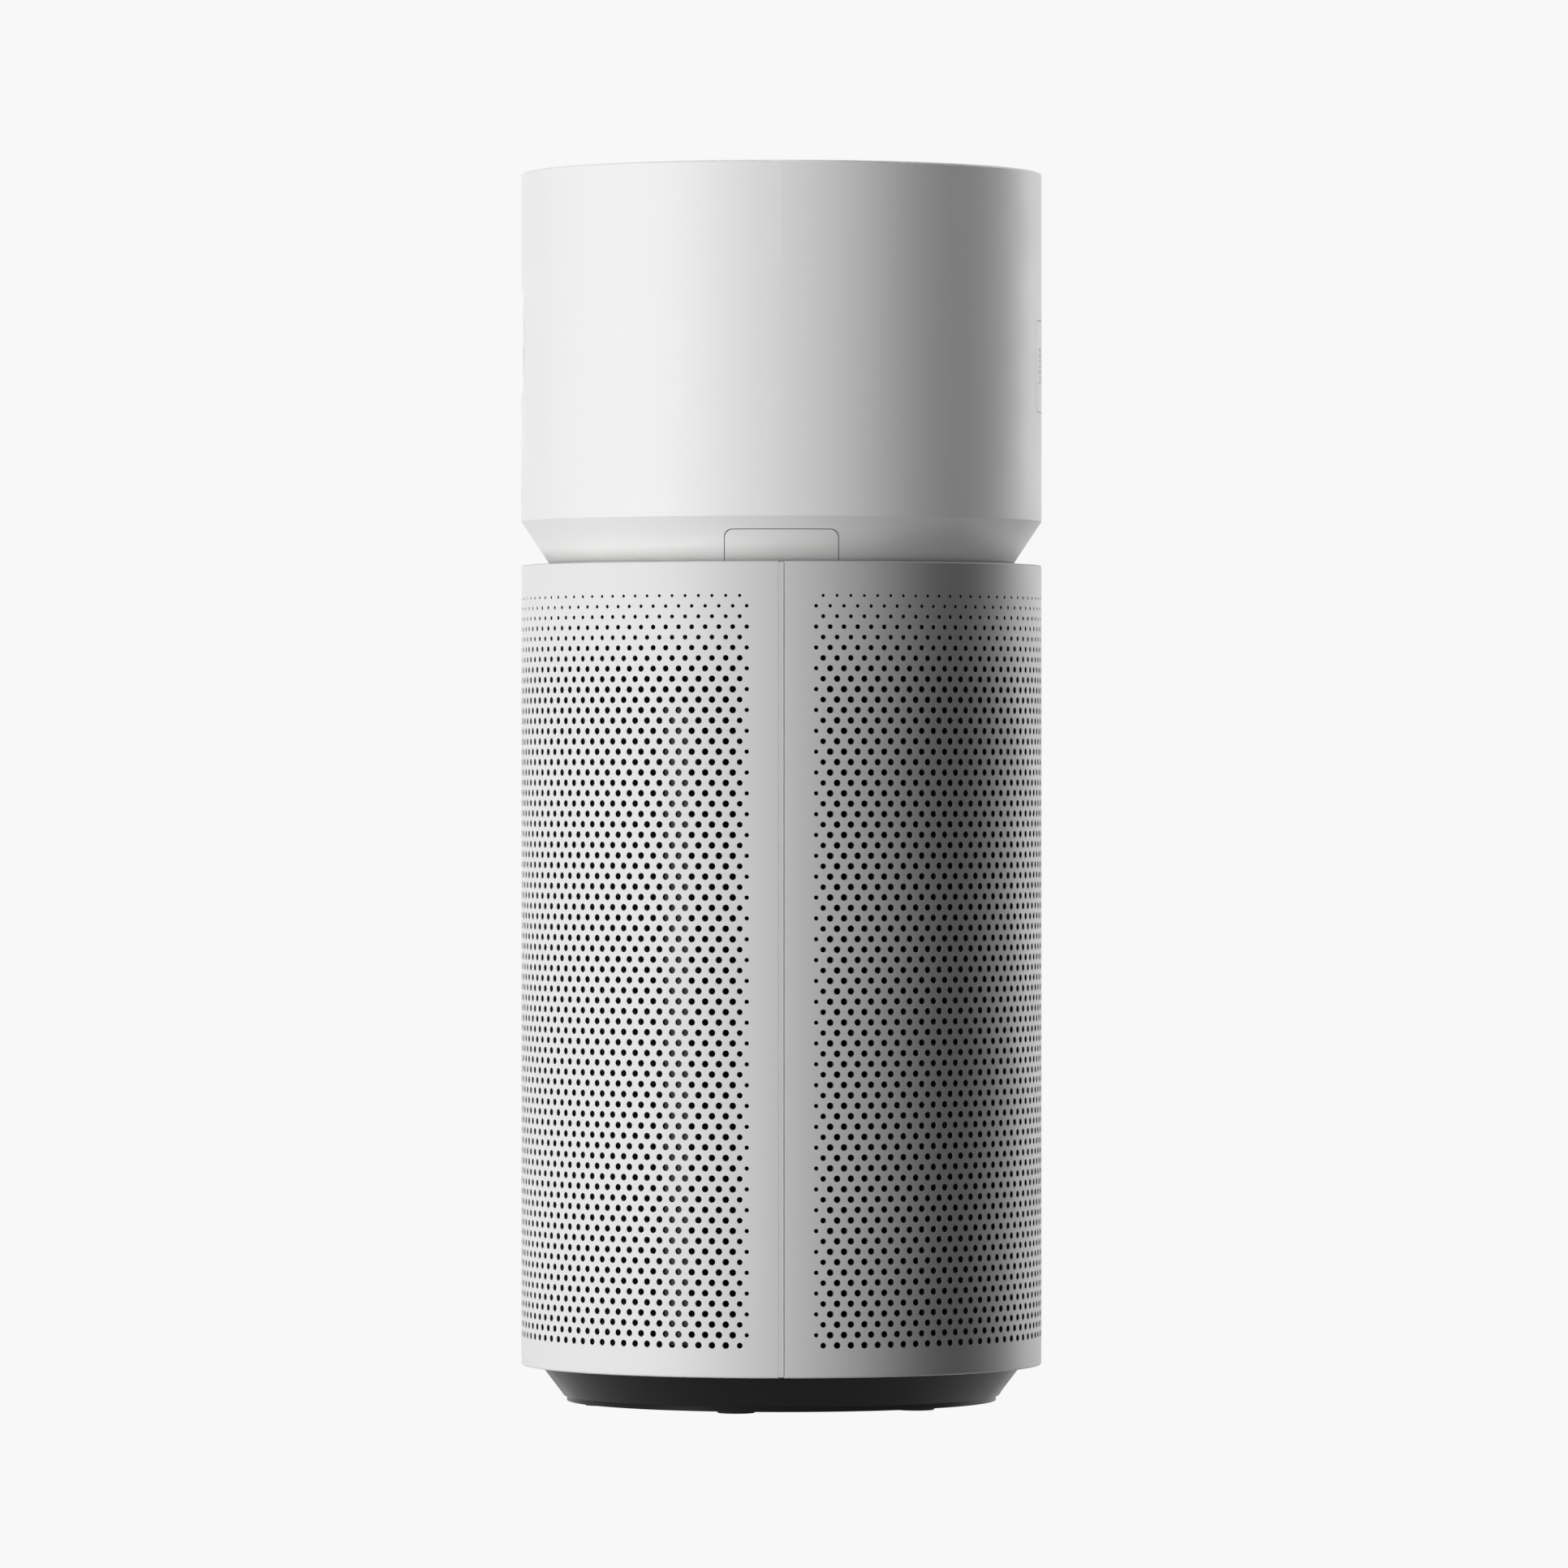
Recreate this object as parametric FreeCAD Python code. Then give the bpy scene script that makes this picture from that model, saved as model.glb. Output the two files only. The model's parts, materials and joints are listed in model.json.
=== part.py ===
import FreeCAD, Part
import math
import os

# Tower air purifier: a white drum with the fan in it stands on a perforated intake drum
# of the same diameter, with a narrow waist between them and a black base below.
# Millimetres. +Z is up, the floor is z = 0, the display faces -Y, the power inlet +Y,
# and the two half covers meet at +X and -X.

V = FreeCAD.Vector
os.makedirs("parts", exist_ok=True)

# ---------------------------------------------------------------- driving sizes
BODY_R = 152.5              # outside radius of both drums
TOTAL_H = 720.0             # floor to top rim
DRUM_H = 203.7              # straight wall of the upper drum
WAIST_GAP = 25.8            # from the drum's lower edge down to the covers' rim
CONE_SLOPE = 0.661          # waist cone: radius lost per millimetre of height
CONE_H = 36.3               # height of the cone, most of it behind the covers' rim
SHELL_WALL = 2.6
SHELL_EDGE = 1.2            # edge rounding of the top rim
WAIST_CORNER = 1.0          # inner corner of cone and drum, above the outer one
COVER_WALL = 2.4
COVER_EDGE = 1.2
COVER_Z0 = 22.5             # lower edge of the covers
COVER_FLANGE_T = 2.5        # thickness of their top and bottom flanges
COVER_FLANGE_W = 14.1       # width of those flanges from the outside
SEAM_GAP = 0.8              # joint line between the two half covers
BODY_GAP = 0.4              # gap between pieces that part from each other
OVERLAP = 1.0               # how far shapes that are joined run into each other
THROUGH = 1.0               # how far a cutting shape runs past the face that it opens

FOOT_H = 1.6                # how far the feet stand out below the base plate
FOOT_POCKET = 1.0
FOOT_R = 11.0
FOOT_EDGE_GAP = 6.8         # rim of the base plate left outside a foot
FOOT_COUNT = 6
FOOT_FIRST_DEG = 46.0
FOOT_CHAMFER = 0.5
PLATE_T = 3.0
PLATE_INSET = 26.7          # base plate's edge, in from the drum's wall
PAN_BOTTOM_INSET = 24.9     # lower and upper edge of the base cone, in from the drum's wall
PAN_TOP_INSET = 11.6
PAN_WALL = 3.2
PAN_RIM_H = 4.9             # height of the rim that the covers stand round
PAN_DECK_T = 3.0
SCREW_R = 1.5
SCREW_HEAD_R = 3.2
SCREW_HEAD_T = 1.8
SCREW_L = 12.0
SCREW_PITCH_R = 84.0
SCREW_COUNT = 4
SCREW_FIRST_DEG = 45.0
SCREW_WEB = 1.0             # base plate left above a screw's head
SCREW_BOSS_WALL = 3.0

INLET_W = 20.0              # two-pole appliance inlet
INLET_H = 10.4
INLET_D = 17.0
INLET_RECESS = 24.0         # its front face, in from the drum's wall
SOCKET_R = 3.8
SOCKET_SPAN = 8.4           # between the centres of the socket's round ends
SOCKET_D = 12.0
PIN_R = 1.2
PIN_PITCH = 8.6
PIN_SINK = 2.0              # pins end this far inside the socket's mouth
SOCKET_CORNER = 3.79        # a hair under SOCKET_R, so that the straight ends keep a length
INLET_BLOCK_D = 8.0         # solid block of the base behind the recess
RECESS_W = 34.0             # opening in the base cone round the inlet
RECESS_H = 14.8
RECESS_CORNER = 4.0

POWER_BOARD_W = 96.0
POWER_BOARD_Y = (-30.0, 32.0)
SPACER_R = 2.5
SPACER_H = 3.0
SPACER_INSET = 6.0
# parts under the power board: centre x, centre y, width, depth, height
POWER_PARTS = ((-27.0, -11.0, 26.0, 26.0, 9.0), (17.0, 13.0, 26.0, 22.0, 8.0))
CAPACITOR_R = 5.0
CAPACITOR_H = 9.0
CAPACITOR_AT = (20.0, -14.0)

POST_W = 18.0               # posts that carry the upper drum, at +X and -X
POST_D = 16.0
POST_WALL = 2.4
POST_INSET = 5.5            # outer face, in from the drum's wall
MAGNET_R = 4.0
MAGNET_T = 3.0
PIN_FIT = 0.05              # clearance of pins, screws and magnets that stay put
MAGNET_PAD = 7.0            # half height of the solid pad round a post's magnet
MAGNET_BOSS = 6.0           # half size of the boss round a cover's magnet
MAGNET_BACK = 2.0
SWITCH_T = 5.0              # interlock switch in the right-hand post
SWITCH_W = 10.0
SWITCH_H = 18.0
SWITCH_DROP = 22.0          # its middle, below the upper magnets
MAGNET_END = 80.0           # magnet height, from either end of a cover
RIB_T = 2.4
RIB_D = 12.0
STIFF_RIB_T = 2.2           # stiffening ribs inside the covers
STIFF_RIB_D = 9.0
STIFF_RIB_DEG = 57.0        # their place, round from the seam

DECK_H = 6.0                # filter deck on the base
STOP_H = 4.0
STOP_T = 2.0
FILTER_SIDE_GAP = 5.0       # between the filter and the posts
FILTER_DEPTH = 50.0         # thickness of the filter ring
CAP_T = 2.4
CAP_LIP = 6.0
CAP_LIP_T = 1.6
GASKET_W = 16.0
GASKET_T = 3.0
GASKET_INSET = 1.0          # its bore, beyond the throat
MEDIA_GAP = 0.2             # between the caps' lips, the tubes and the pleats
WRAP_T = 0.6
PLEATS = 90
PLEAT_T = 0.5
CORE_T = 1.4
CORE_WINDOWS = 12
CORE_ROWS = 6
WINDOW_RIB = 12.0           # tube left between windows, round it and up it
WINDOW_EDGE = 8.0
STRIP_DEG = (-33.2, -25.6)  # bonded seam of the filter's wrap
STRIP_TOP_GAP = 38.5
STRIP_T = 0.6
STRIP_LIFT = 0.1            # bonding film under the strip and under the tab
TAB_W = 24.0
TAB_L = 52.0
TAB_T = 1.0

INTAKE_H = 28.0             # intake deck that the fan and the upper shell stand on
INTAKE_PLATE_T = 3.0
INTAKE_WALL = 3.0
THROAT_OVERLAP = 8.0        # throat radius, beyond the filter's bore
GUARD_H = 2.5
GUARD_SEAT = 4.0
GUARD_BAR = 2.0
GUARD_PITCH = 18.0
GUARD_SPOKES = 6
GUARD_HUB_R = 6.0
EAR_H = 8.0                 # ears of the intake deck that rest on the posts

DUCT_INSET = 38.5           # inside of the fan duct at the fan, in from the drum's wall
DUCT_STEP = 4.0             # the duct is wider by this above the fan
DUCT_WALL = 2.4
DUCT_TOP_DROP = 20.0        # from the top rim down to the duct's top
FAN_FLOOR_GAP = 12.0        # from the intake guard up to the impeller
FAN_TIP_GAP = 4.0
BLADE_H = 44.0
BLADE_T = 2.6
BLADE_COUNT = 11
BLADE_ROOT_R = 42.0
BLADE_SWEEP = 38.0
BLADE_BOW = 0.38            # share of the sweep that a blade has made half way out
BLADE_TIP_INSET = 1.0
HUB_FLARE = 4.0             # hub cone, beyond the blades' roots
FAN_PLATE_T = 3.0
FAN_HUB_R = 14.0
FAN_PLATE_INSET = 24.0
POD_R = 58.0                # motor pod
POD_WALL = 3.0
POD_H = 64.0
POD_GAP = 6.0               # impeller's back plate to the pod's floor
VANE_COUNT = 13
VANE_T = 2.2
VANE_TILT = 24.0
VANE_RING_T = 2.6
VANE_INSET = 6.0            # vanes stop this far inside the pod's ends
SHAFT_R = 4.0
SHAFT_FIT = 0.03
SHAFT_HOLE = 2.0            # clearance round the shaft in the pod's floor
SHAFT_PROUD = 2.0           # shaft below the nut
STATOR_R = 44.0
STATOR_BORE = 24.0
STATOR_H = 30.0
STATOR_SEAT = 4.0           # width of the pod's ledge under the stator
WINDING_ROOM = 6.0
SLOT_IN = 4.0               # winding slots, in from the stator's bore and from its outside
SLOT_OUT = 6.0
SLOT_W = 4.0
SLOT_COUNT = 12
ROTOR_R = 23.0
BEARING_R = 11.0
BEARING_W = 7.0
BEARING_WALL = 3.0
BEARING_RISE = 1.0          # the upper bearing reaches this far into the cap
NUT_AF = 13.0
NUT_H = 7.0
MOTOR_CAP_H = 7.0
MOTOR_CAP_EDGE = 2.0
MOTOR_CAP_SHOULDER = 12.0

RING_SLOPE_H = 13.0         # fall of the dished outlet ring
RING_T = 2.8
RING_LIP = 2.0              # the ring starts this far below the top rim
RING_SKIRT = 3.0            # its foot reaches this far down round the fan duct
GRILLE_H = 6.0
GRILLE_PITCH = 7.6
GRILLE_BAR = 2.2
GRILLE_RIBS = 12
GRILLE_HUB_R = 24.0
GRILLE_RIM_LAP = 1.0        # the grille's rim, inside the duct's wall
GRILLE_RING_UP = 1.0        # rings start this far above the ribs' foot
GRILLE_RING_DROP = 0.6      # tops of the rings, hub and ribs, below the rim's
GRILLE_HUB_DROP = 1.0
GRILLE_RIB_DROP = 1.4
CAP_R = 30.0
CAP_H = 3.2
CAP_BEVEL = 3.0

DISPLAY_UP = 104.7          # display centre, above the drum's lower edge
FACET_R = 34.0              # round flat that the display sits in
FACET_DEPTH = 1.9
FACET_BACK = 5.6
BEZEL_R = 28.0
BEZEL_W = 3.7
BEZEL_PROUD = 0.3
GLASS_T = 2.0
GLASS_SINK = 0.3
GLASS_SEAT = 2.0            # width of the ledge behind the glass
BEZEL_FLANGE = 3.0
BEZEL_FLANGE_T = 2.0
FACET_PAD = 3.0             # shell thickened this far round the flat
DISPLAY_BOARD_EDGE = 1.0    # display board, beyond the bezel
CHIP_W = 12.0
CHIP_T = 2.0
BOARD_T = 1.6
CONTROL_W = 84.0
CONTROL_H = 80.0
CONTROL_STAND = 4.0         # boards and sensor, out from the fan duct
CONTROL_SCREW_INSET = 6.0
CONTROL_POST_R = 3.0
# parts on the control board: centre x, centre z above its lower edge, width, height, depth
CONTROL_PARTS = ((0.0, 39.0, 18.0, 18.0, 2.0), (26.0, 13.0, 16.0, 6.0, 6.0), (-27.0, 65.0, 14.0, 18.0, 7.0))

LID_W = 72.0                # lid over the air sensor
LID_H = 53.0
LID_UP = 90.2               # its centre, above the drum's lower edge
LID_CORNER = 8.0
LID_T = 2.3
LID_LIP = 3.5
LID_FRAME = 8.0             # frame behind the lid, wider than it by this
SNAP_W = 12.0               # snap tabs behind the lid
SNAP_L = 9.0
SNAP_T = 2.2
VENT_R = 1.1
VENT_PITCH = 3.2
VENT_ROWS = 7
VENT_COLS = 9
SENSOR_W = 44.0
SENSOR_H = 34.0
SENSOR_D = 15.0
SENSOR_STAND = 8.0
SENSOR_PAD_W = 32.0
SENSOR_PAD_H = 24.0
LENS_R = 4.0
LENS_X = 10.0
LENS_D = 11.0
AIR_SLOTS = 5
AIR_SLOT_PITCH = 4.0
AIR_SLOT_H = 2.0
AIR_SLOT_D = 3.0
AIR_SLOT_X = (-18.0, -4.0)

BUTTON_W = 66.0             # release buttons in the waist cone
BUTTON_DROP = 7.3           # their top edge, below the drum's lower edge
BUTTON_H = 25.0
BUTTON_CORNER = 4.7
BUTTON_WALL = 3.2
BUTTON_TRAVEL = 4.0
STEM_W = 40.0
STEM_H = 13.0
GUIDE_R = 2.5
GUIDE_FIT = 0.05
GUIDE_PITCH = 20.0
GUIDE_L = 8.5
SPRING_R = 2.8
SPRING_WIRE = 0.8            # wire diameter
SPRING_PITCH = 52.0
SPRING_TURNS = 5
SEAT_R = 3.6
PAD_H = 14.0                # pads on the fan duct that the springs push against
PAD_EDGE = 0.6              # pad left beside a spring's seat
SEAT_BACK = 5.0             # spring seats, out from the stem's inner end

# ---------------------------------------------------------------- derived levels and radii
FAR = 2.0 * TOTAL_H
SAME = 0.01                 # closer than this counts as the same place
DRUM_Z0 = TOTAL_H - DRUM_H
COVER_Z1 = DRUM_Z0 - WAIST_GAP
CONE_Z0 = DRUM_Z0 - CONE_H
SHELL_IN_R = BODY_R - SHELL_WALL
COVER_IN_R = BODY_R - COVER_WALL
FLANGE_IN_R = BODY_R - COVER_FLANGE_W
PLATE_Z1 = FOOT_H + PLATE_T
PLATE_R = BODY_R - PLATE_INSET
FOOT_PITCH_R = PLATE_R - FOOT_EDGE_GAP - FOOT_R
PAN_R0 = BODY_R - PAN_BOTTOM_INSET
PAN_R1 = BODY_R - PAN_TOP_INSET
PAN_Z1 = COVER_Z0 - BODY_GAP
PAN_RIM_R = FLANGE_IN_R - BODY_GAP
PAN_TOP = PAN_Z1 + PAN_RIM_H
POST_OUT_X = BODY_R - POST_INSET
POST_IN_X = POST_OUT_X - POST_D
FILTER_R = POST_IN_X - FILTER_SIDE_GAP
FILTER_BORE = FILTER_R - FILTER_DEPTH
DECK_Z1 = PAN_TOP + DECK_H
INTAKE_Z0 = CONE_Z0 - INTAKE_H
INTAKE_FLOOR = INTAKE_Z0 + INTAKE_PLATE_T
FILTER_Z1 = INTAKE_Z0 - GASKET_T - BODY_GAP
THROAT_R = FILTER_BORE + THROAT_OVERLAP
SHELL_FOOT_R = BODY_R - CONE_SLOPE * CONE_H
DUCT_R = BODY_R - DUCT_INSET
UPPER_DUCT_R = DUCT_R + DUCT_STEP
DUCT_OUT_R = UPPER_DUCT_R + DUCT_WALL
DUCT_Z1 = TOTAL_H - DUCT_TOP_DROP
FAN_Z0 = INTAKE_FLOOR + GUARD_H + FAN_FLOOR_GAP
FAN_R = DUCT_R - FAN_TIP_GAP
FAN_Z1 = FAN_Z0 + 2.0 * FAN_PLATE_T + BLADE_H
POD_Z0 = FAN_Z1 + POD_GAP
POD_Z1 = POD_Z0 + POD_H
SHAFT_Z1 = POD_Z1 - POD_WALL
DISPLAY_Z = DRUM_Z0 + DISPLAY_UP
FACET_Y = FACET_DEPTH - BODY_R
LID_Z = DRUM_Z0 + LID_UP
BUTTON_Z1 = DRUM_Z0 - BUTTON_DROP
BUTTON_Z0 = BUTTON_Z1 - BUTTON_H
BUTTON_Z = BUTTON_Z0 + BUTTON_H / 2.0
STEM_IN_X = DUCT_OUT_R + DUCT_WALL + BUTTON_TRAVEL + BODY_GAP
PAD_X = DUCT_OUT_R + DUCT_WALL
MAGNET_LEVELS = (COVER_Z0 + MAGNET_END, COVER_Z1 - MAGNET_END)


# ---------------------------------------------------------------- helpers
def box(x0, x1, y0, y1, z0, z1):
    return Part.makeBox(x1 - x0, y1 - y0, z1 - z0, V(x0, y0, z0))


def tube(r_out, r_in, z0, z1):
    ring = Part.makeCylinder(r_out, z1 - z0, V(0, 0, z0))
    if r_in <= 0:
        return ring
    return ring.cut(Part.makeCylinder(r_in, z1 - z0, V(0, 0, z0)))


def disc_y(r, y0, y1, x, z):
    return Part.makeCylinder(r, y1 - y0, V(x, y0, z), V(0, 1, 0))


def revolve(points):
    wire = Part.makePolygon([V(r, 0, z) for r, z in points + points[:1]])
    return Part.Face(wire).revolve(V(0, 0, 0), V(0, 0, 1), 360)


def turned(shape, degrees):
    copy = shape.copy()
    copy.rotate(V(0, 0, 0), V(0, 0, 1), degrees)
    return copy


def ring_of(shape, count, first=0.0):
    return [turned(shape, first + 360.0 * i / count) for i in range(count)]


def fuse(shapes):
    first, rest = shapes[0], shapes[1:]
    return first.fuse(rest).removeSplitter() if rest else first


def cut(shape, tools):
    return shape.cut(tools)


def rounded_face(width, z0, z1, corner):
    """Rounded rectangle in the YZ plane at x = 0, centred on y = 0."""
    half = width / 2.0
    c = 1.0 - math.sqrt(0.5)
    corners = [
        (V(0, half - corner, z0), V(0, half - corner * c, z0 + corner * c), V(0, half, z0 + corner)),
        (V(0, half, z1 - corner), V(0, half - corner * c, z1 - corner * c), V(0, half - corner, z1)),
        (V(0, corner - half, z1), V(0, corner * c - half, z1 - corner * c), V(0, -half, z1 - corner)),
        (V(0, -half, z0 + corner), V(0, corner * c - half, z0 + corner * c), V(0, corner - half, z0)),
    ]
    edges = []
    for i, (start, middle, end) in enumerate(corners):
        edges.append(Part.Arc(start, middle, end).toShape())
        edges.append(Part.LineSegment(end, corners[(i + 1) % 4][0]).toShape())
    return Part.Face(Part.Wire(edges))


def prism_x(width, z0, z1, corner, x0, x1):
    face = rounded_face(width, z0, z1, corner)
    face.translate(V(x0, 0, 0))
    return face.extrude(V(x1 - x0, 0, 0))


def prism_y(width, z0, z1, corner, y0, y1):
    return turned(prism_x(width, z0, z1, corner, y0, y1), 90)


def soften_circles(shape, size, places):
    """Rounds the circular edges found at the (radius, z) places."""
    edges = []
    for edge in shape.Edges:
        curve = edge.Curve
        if not isinstance(curve, Part.Circle):
            continue
        for r, z in places:
            if abs(curve.Radius - r) < SAME and abs(curve.Center.z - z) < SAME:
                edges.append(edge)
    return shape.makeFillet(size, edges)


def save(name, shape):
    shape.exportStep("parts/" + name + ".step")
    print(name, len(shape.Solids), round(shape.Volume / 1000.0, 2), shape.isValid())


def both_sides(shape):
    return [shape, turned(shape, 180)]


# ---------------------------------------------------------------- base
def base_pan():
    bottom, deck_z0 = PLATE_Z1, PAN_TOP - PAN_DECK_T
    slope = (PAN_R1 - PAN_R0) / (PAN_Z1 - bottom)
    inner_r0 = PAN_R0 - PAN_WALL
    neck_r = PAN_RIM_R - PAN_WALL
    neck_z = bottom + (neck_r - inner_r0) / slope
    pan = revolve([
        (inner_r0, bottom), (neck_r, neck_z), (neck_r, deck_z0), (0, deck_z0), (0, PAN_TOP),
        (PAN_RIM_R, PAN_TOP), (PAN_RIM_R, PAN_Z1), (PAN_R1, PAN_Z1), (PAN_R0, bottom),
    ])
    outside = revolve([
        (0, bottom), (0, deck_z0), (PAN_RIM_R, deck_z0), (PAN_RIM_R, PAN_Z1), (PAN_R1, PAN_Z1),
        (PAN_R0, bottom),
    ])
    inlet_y = BODY_R - INLET_RECESS
    inlet_z = (bottom + PAN_Z1) / 2.0
    block = box(-INLET_W, INLET_W, inlet_y - INLET_BLOCK_D, BODY_R, bottom, deck_z0).common(outside)
    boss = Part.makeCylinder(SCREW_R + SCREW_BOSS_WALL, deck_z0 - bottom, V(SCREW_PITCH_R, 0, bottom))
    hole = Part.makeCylinder(SCREW_R + PIN_FIT, SCREW_L, V(SCREW_PITCH_R, 0, bottom))
    recess = prism_y(RECESS_W, inlet_z - RECESS_H / 2.0, inlet_z + RECESS_H / 2.0, RECESS_CORNER,
                     inlet_y, BODY_R)
    window = box(-INLET_W / 2.0, INLET_W / 2.0, inlet_y - INLET_BLOCK_D - THROUGH, inlet_y + THROUGH,
                 inlet_z - INLET_H / 2.0, inlet_z + INLET_H / 2.0)
    bosses = ring_of(boss, SCREW_COUNT, SCREW_FIRST_DEG)
    holes = ring_of(hole, SCREW_COUNT, SCREW_FIRST_DEG)
    return cut(fuse([pan, block] + bosses), holes + [recess, window])


def power_inlet():
    y1 = BODY_R - INLET_RECESS
    z = (PLATE_Z1 + PAN_Z1) / 2.0
    body = box(-INLET_W / 2.0, INLET_W / 2.0, y1 - INLET_D, y1, z - INLET_H / 2.0, z + INLET_H / 2.0)
    socket = prism_y(SOCKET_SPAN + 2.0 * SOCKET_R, z - SOCKET_R, z + SOCKET_R, SOCKET_CORNER,
                     y1 - SOCKET_D, y1)
    pins = []
    for side in (-1, 1):
        pins.append(disc_y(PIN_R, y1 - SOCKET_D - OVERLAP, y1 - PIN_SINK, side * PIN_PITCH / 2.0, z))
    return fuse([cut(body, [socket])] + pins)


def power_board():
    """Board screwed up under the base's deck, with its parts hanging from it."""
    z1 = PAN_TOP - PAN_DECK_T - SPACER_H
    z0 = z1 - BOARD_T
    y0, y1 = POWER_BOARD_Y
    half = POWER_BOARD_W / 2.0
    pieces = [box(-half, half, y0, y1, z0, z1)]
    for x in (SPACER_INSET - half, half - SPACER_INSET):
        for y in (y0 + SPACER_INSET, y1 - SPACER_INSET):
            pieces.append(Part.makeCylinder(SPACER_R, SPACER_H, V(x, y, z1)))
    for x, y, width, depth, height in POWER_PARTS:
        half_w, half_d = width / 2.0, depth / 2.0
        pieces.append(box(x - half_w, x + half_w, y - half_d, y + half_d, z0 - height, z0))
    pieces.append(Part.makeCylinder(CAPACITOR_R, CAPACITOR_H, V(*CAPACITOR_AT, z0 - CAPACITOR_H)))
    return fuse(pieces)


def base_plate():
    plate = tube(PLATE_R, 0, FOOT_H, PLATE_Z1)
    pocket = Part.makeCylinder(FOOT_R, FOOT_POCKET, V(FOOT_PITCH_R, 0, FOOT_H))
    head = Part.makeCylinder(SCREW_HEAD_R + PIN_FIT, PLATE_T - SCREW_WEB, V(SCREW_PITCH_R, 0, FOOT_H))
    shank = Part.makeCylinder(SCREW_R + PIN_FIT, PLATE_T, V(SCREW_PITCH_R, 0, FOOT_H))
    tools = ring_of(pocket, FOOT_COUNT, FOOT_FIRST_DEG) + ring_of(head, SCREW_COUNT, SCREW_FIRST_DEG)
    return cut(plate, tools + ring_of(shank, SCREW_COUNT, SCREW_FIRST_DEG))


def base_screws():
    seat = FOOT_H + PLATE_T - SCREW_WEB
    head = Part.makeCylinder(SCREW_HEAD_R, SCREW_HEAD_T, V(SCREW_PITCH_R, 0, seat - SCREW_HEAD_T))
    shank = Part.makeCylinder(SCREW_R, SCREW_L, V(SCREW_PITCH_R, 0, seat))
    return Part.makeCompound(ring_of(head.fuse(shank).removeSplitter(), SCREW_COUNT, SCREW_FIRST_DEG))


def rubber_feet():
    foot = Part.makeCylinder(FOOT_R, FOOT_H + FOOT_POCKET, V(FOOT_PITCH_R, 0, 0))
    foot = foot.makeChamfer(FOOT_CHAMFER, [e for e in foot.Edges if e.BoundBox.ZMax < FOOT_CHAMFER])
    return Part.makeCompound(ring_of(foot, FOOT_COUNT, FOOT_FIRST_DEG))


# ---------------------------------------------------------------- filter bay
def filter_deck():
    deck = tube(FILTER_R, 0, PAN_TOP, DECK_Z1)
    stop = tube(FILTER_R + BODY_GAP + STOP_T, FILTER_R + BODY_GAP, PAN_TOP, DECK_Z1 + STOP_H)
    arc = stop.common(box(-FAR, FAR, FILTER_R / 2.0, FAR, 0, FAR))
    web = tube(FILTER_R + BODY_GAP + STOP_T, FILTER_R - OVERLAP, PAN_TOP, DECK_Z1 - OVERLAP)
    return fuse([deck, arc, web.common(box(-FAR, FAR, FILTER_R / 2.0, FAR, 0, FAR))])


def frame_post(side):
    """Channel-section post with a foot on the base and solid pads where the magnets sit."""
    half = POST_W / 2.0
    outer = box(POST_IN_X, POST_OUT_X, -half, half, PAN_TOP, INTAKE_Z0)
    hollow = box(POST_IN_X + POST_WALL, POST_OUT_X, POST_WALL - half, half - POST_WALL, PAN_TOP + POST_WALL,
                 INTAKE_Z0 - POST_WALL)
    foot_x = FILTER_R + BODY_GAP + STOP_T
    foot = box(foot_x, POST_IN_X, -half, half, PAN_TOP, DECK_Z1)
    pads = []
    pockets = []
    for z in MAGNET_LEVELS:
        pads.append(box(POST_IN_X + POST_WALL, POST_OUT_X, -half, half, z - MAGNET_PAD, z + MAGNET_PAD))
        for y in (-half, half - MAGNET_T):
            pockets.append(disc_y(MAGNET_R + PIN_FIT, y, y + MAGNET_T, post_magnet_x(), z))
    post = cut(fuse([outer.cut(hollow), foot] + pads), pockets)
    return turned(post, 180) if side < 0 else post


def post_magnet_x():
    return (POST_IN_X + POST_WALL + POST_OUT_X) / 2.0


def post_magnets():
    half = POST_W / 2.0
    magnets = []
    for z in MAGNET_LEVELS:
        for y in (-half, half - MAGNET_T):
            magnets += both_sides(disc_y(MAGNET_R, y, y + MAGNET_T, post_magnet_x(), z))
    return Part.makeCompound(magnets)


def interlock_switch():
    """Reed switch in the right-hand post: it opens when a cover is taken off."""
    x = POST_IN_X + POST_WALL
    z = MAGNET_LEVELS[1] - SWITCH_DROP
    return box(x, x + SWITCH_T, -SWITCH_W / 2.0, SWITCH_W / 2.0, z - SWITCH_H / 2.0, z + SWITCH_H / 2.0)


def intake_deck():
    wall = revolve([
        (THROAT_R, INTAKE_Z0), (SHELL_FOOT_R, INTAKE_Z0), (SHELL_FOOT_R, CONE_Z0),
        (SHELL_FOOT_R - INTAKE_WALL, CONE_Z0), (SHELL_FOOT_R - INTAKE_WALL, INTAKE_FLOOR),
        (THROAT_R, INTAKE_FLOOR),
    ])
    ear_in = SHELL_FOOT_R - 2.0 * OVERLAP
    ear = box(ear_in, POST_OUT_X, -POST_W / 2.0, POST_W / 2.0, INTAKE_Z0, INTAKE_Z0 + EAR_H)
    return fuse([wall] + both_sides(ear))


def intake_guard():
    """Finger guard of rings and spokes over the throat, below the impeller."""
    z0, z1 = INTAKE_FLOOR, INTAKE_FLOOR + GUARD_H
    rings = [tube(THROAT_R + GUARD_SEAT, THROAT_R - GUARD_BAR, z0, z1), tube(GUARD_HUB_R, 0, z0, z1)]
    r = GUARD_PITCH
    while r < THROAT_R - GUARD_PITCH / 2.0:
        rings.append(tube(r + GUARD_BAR, r, z0, z1))
        r += GUARD_PITCH
    spoke = box(GUARD_BAR, THROAT_R, -GUARD_BAR / 2.0, GUARD_BAR / 2.0, z0, z1)
    return fuse(rings + ring_of(spoke, GUARD_SPOKES))


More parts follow.
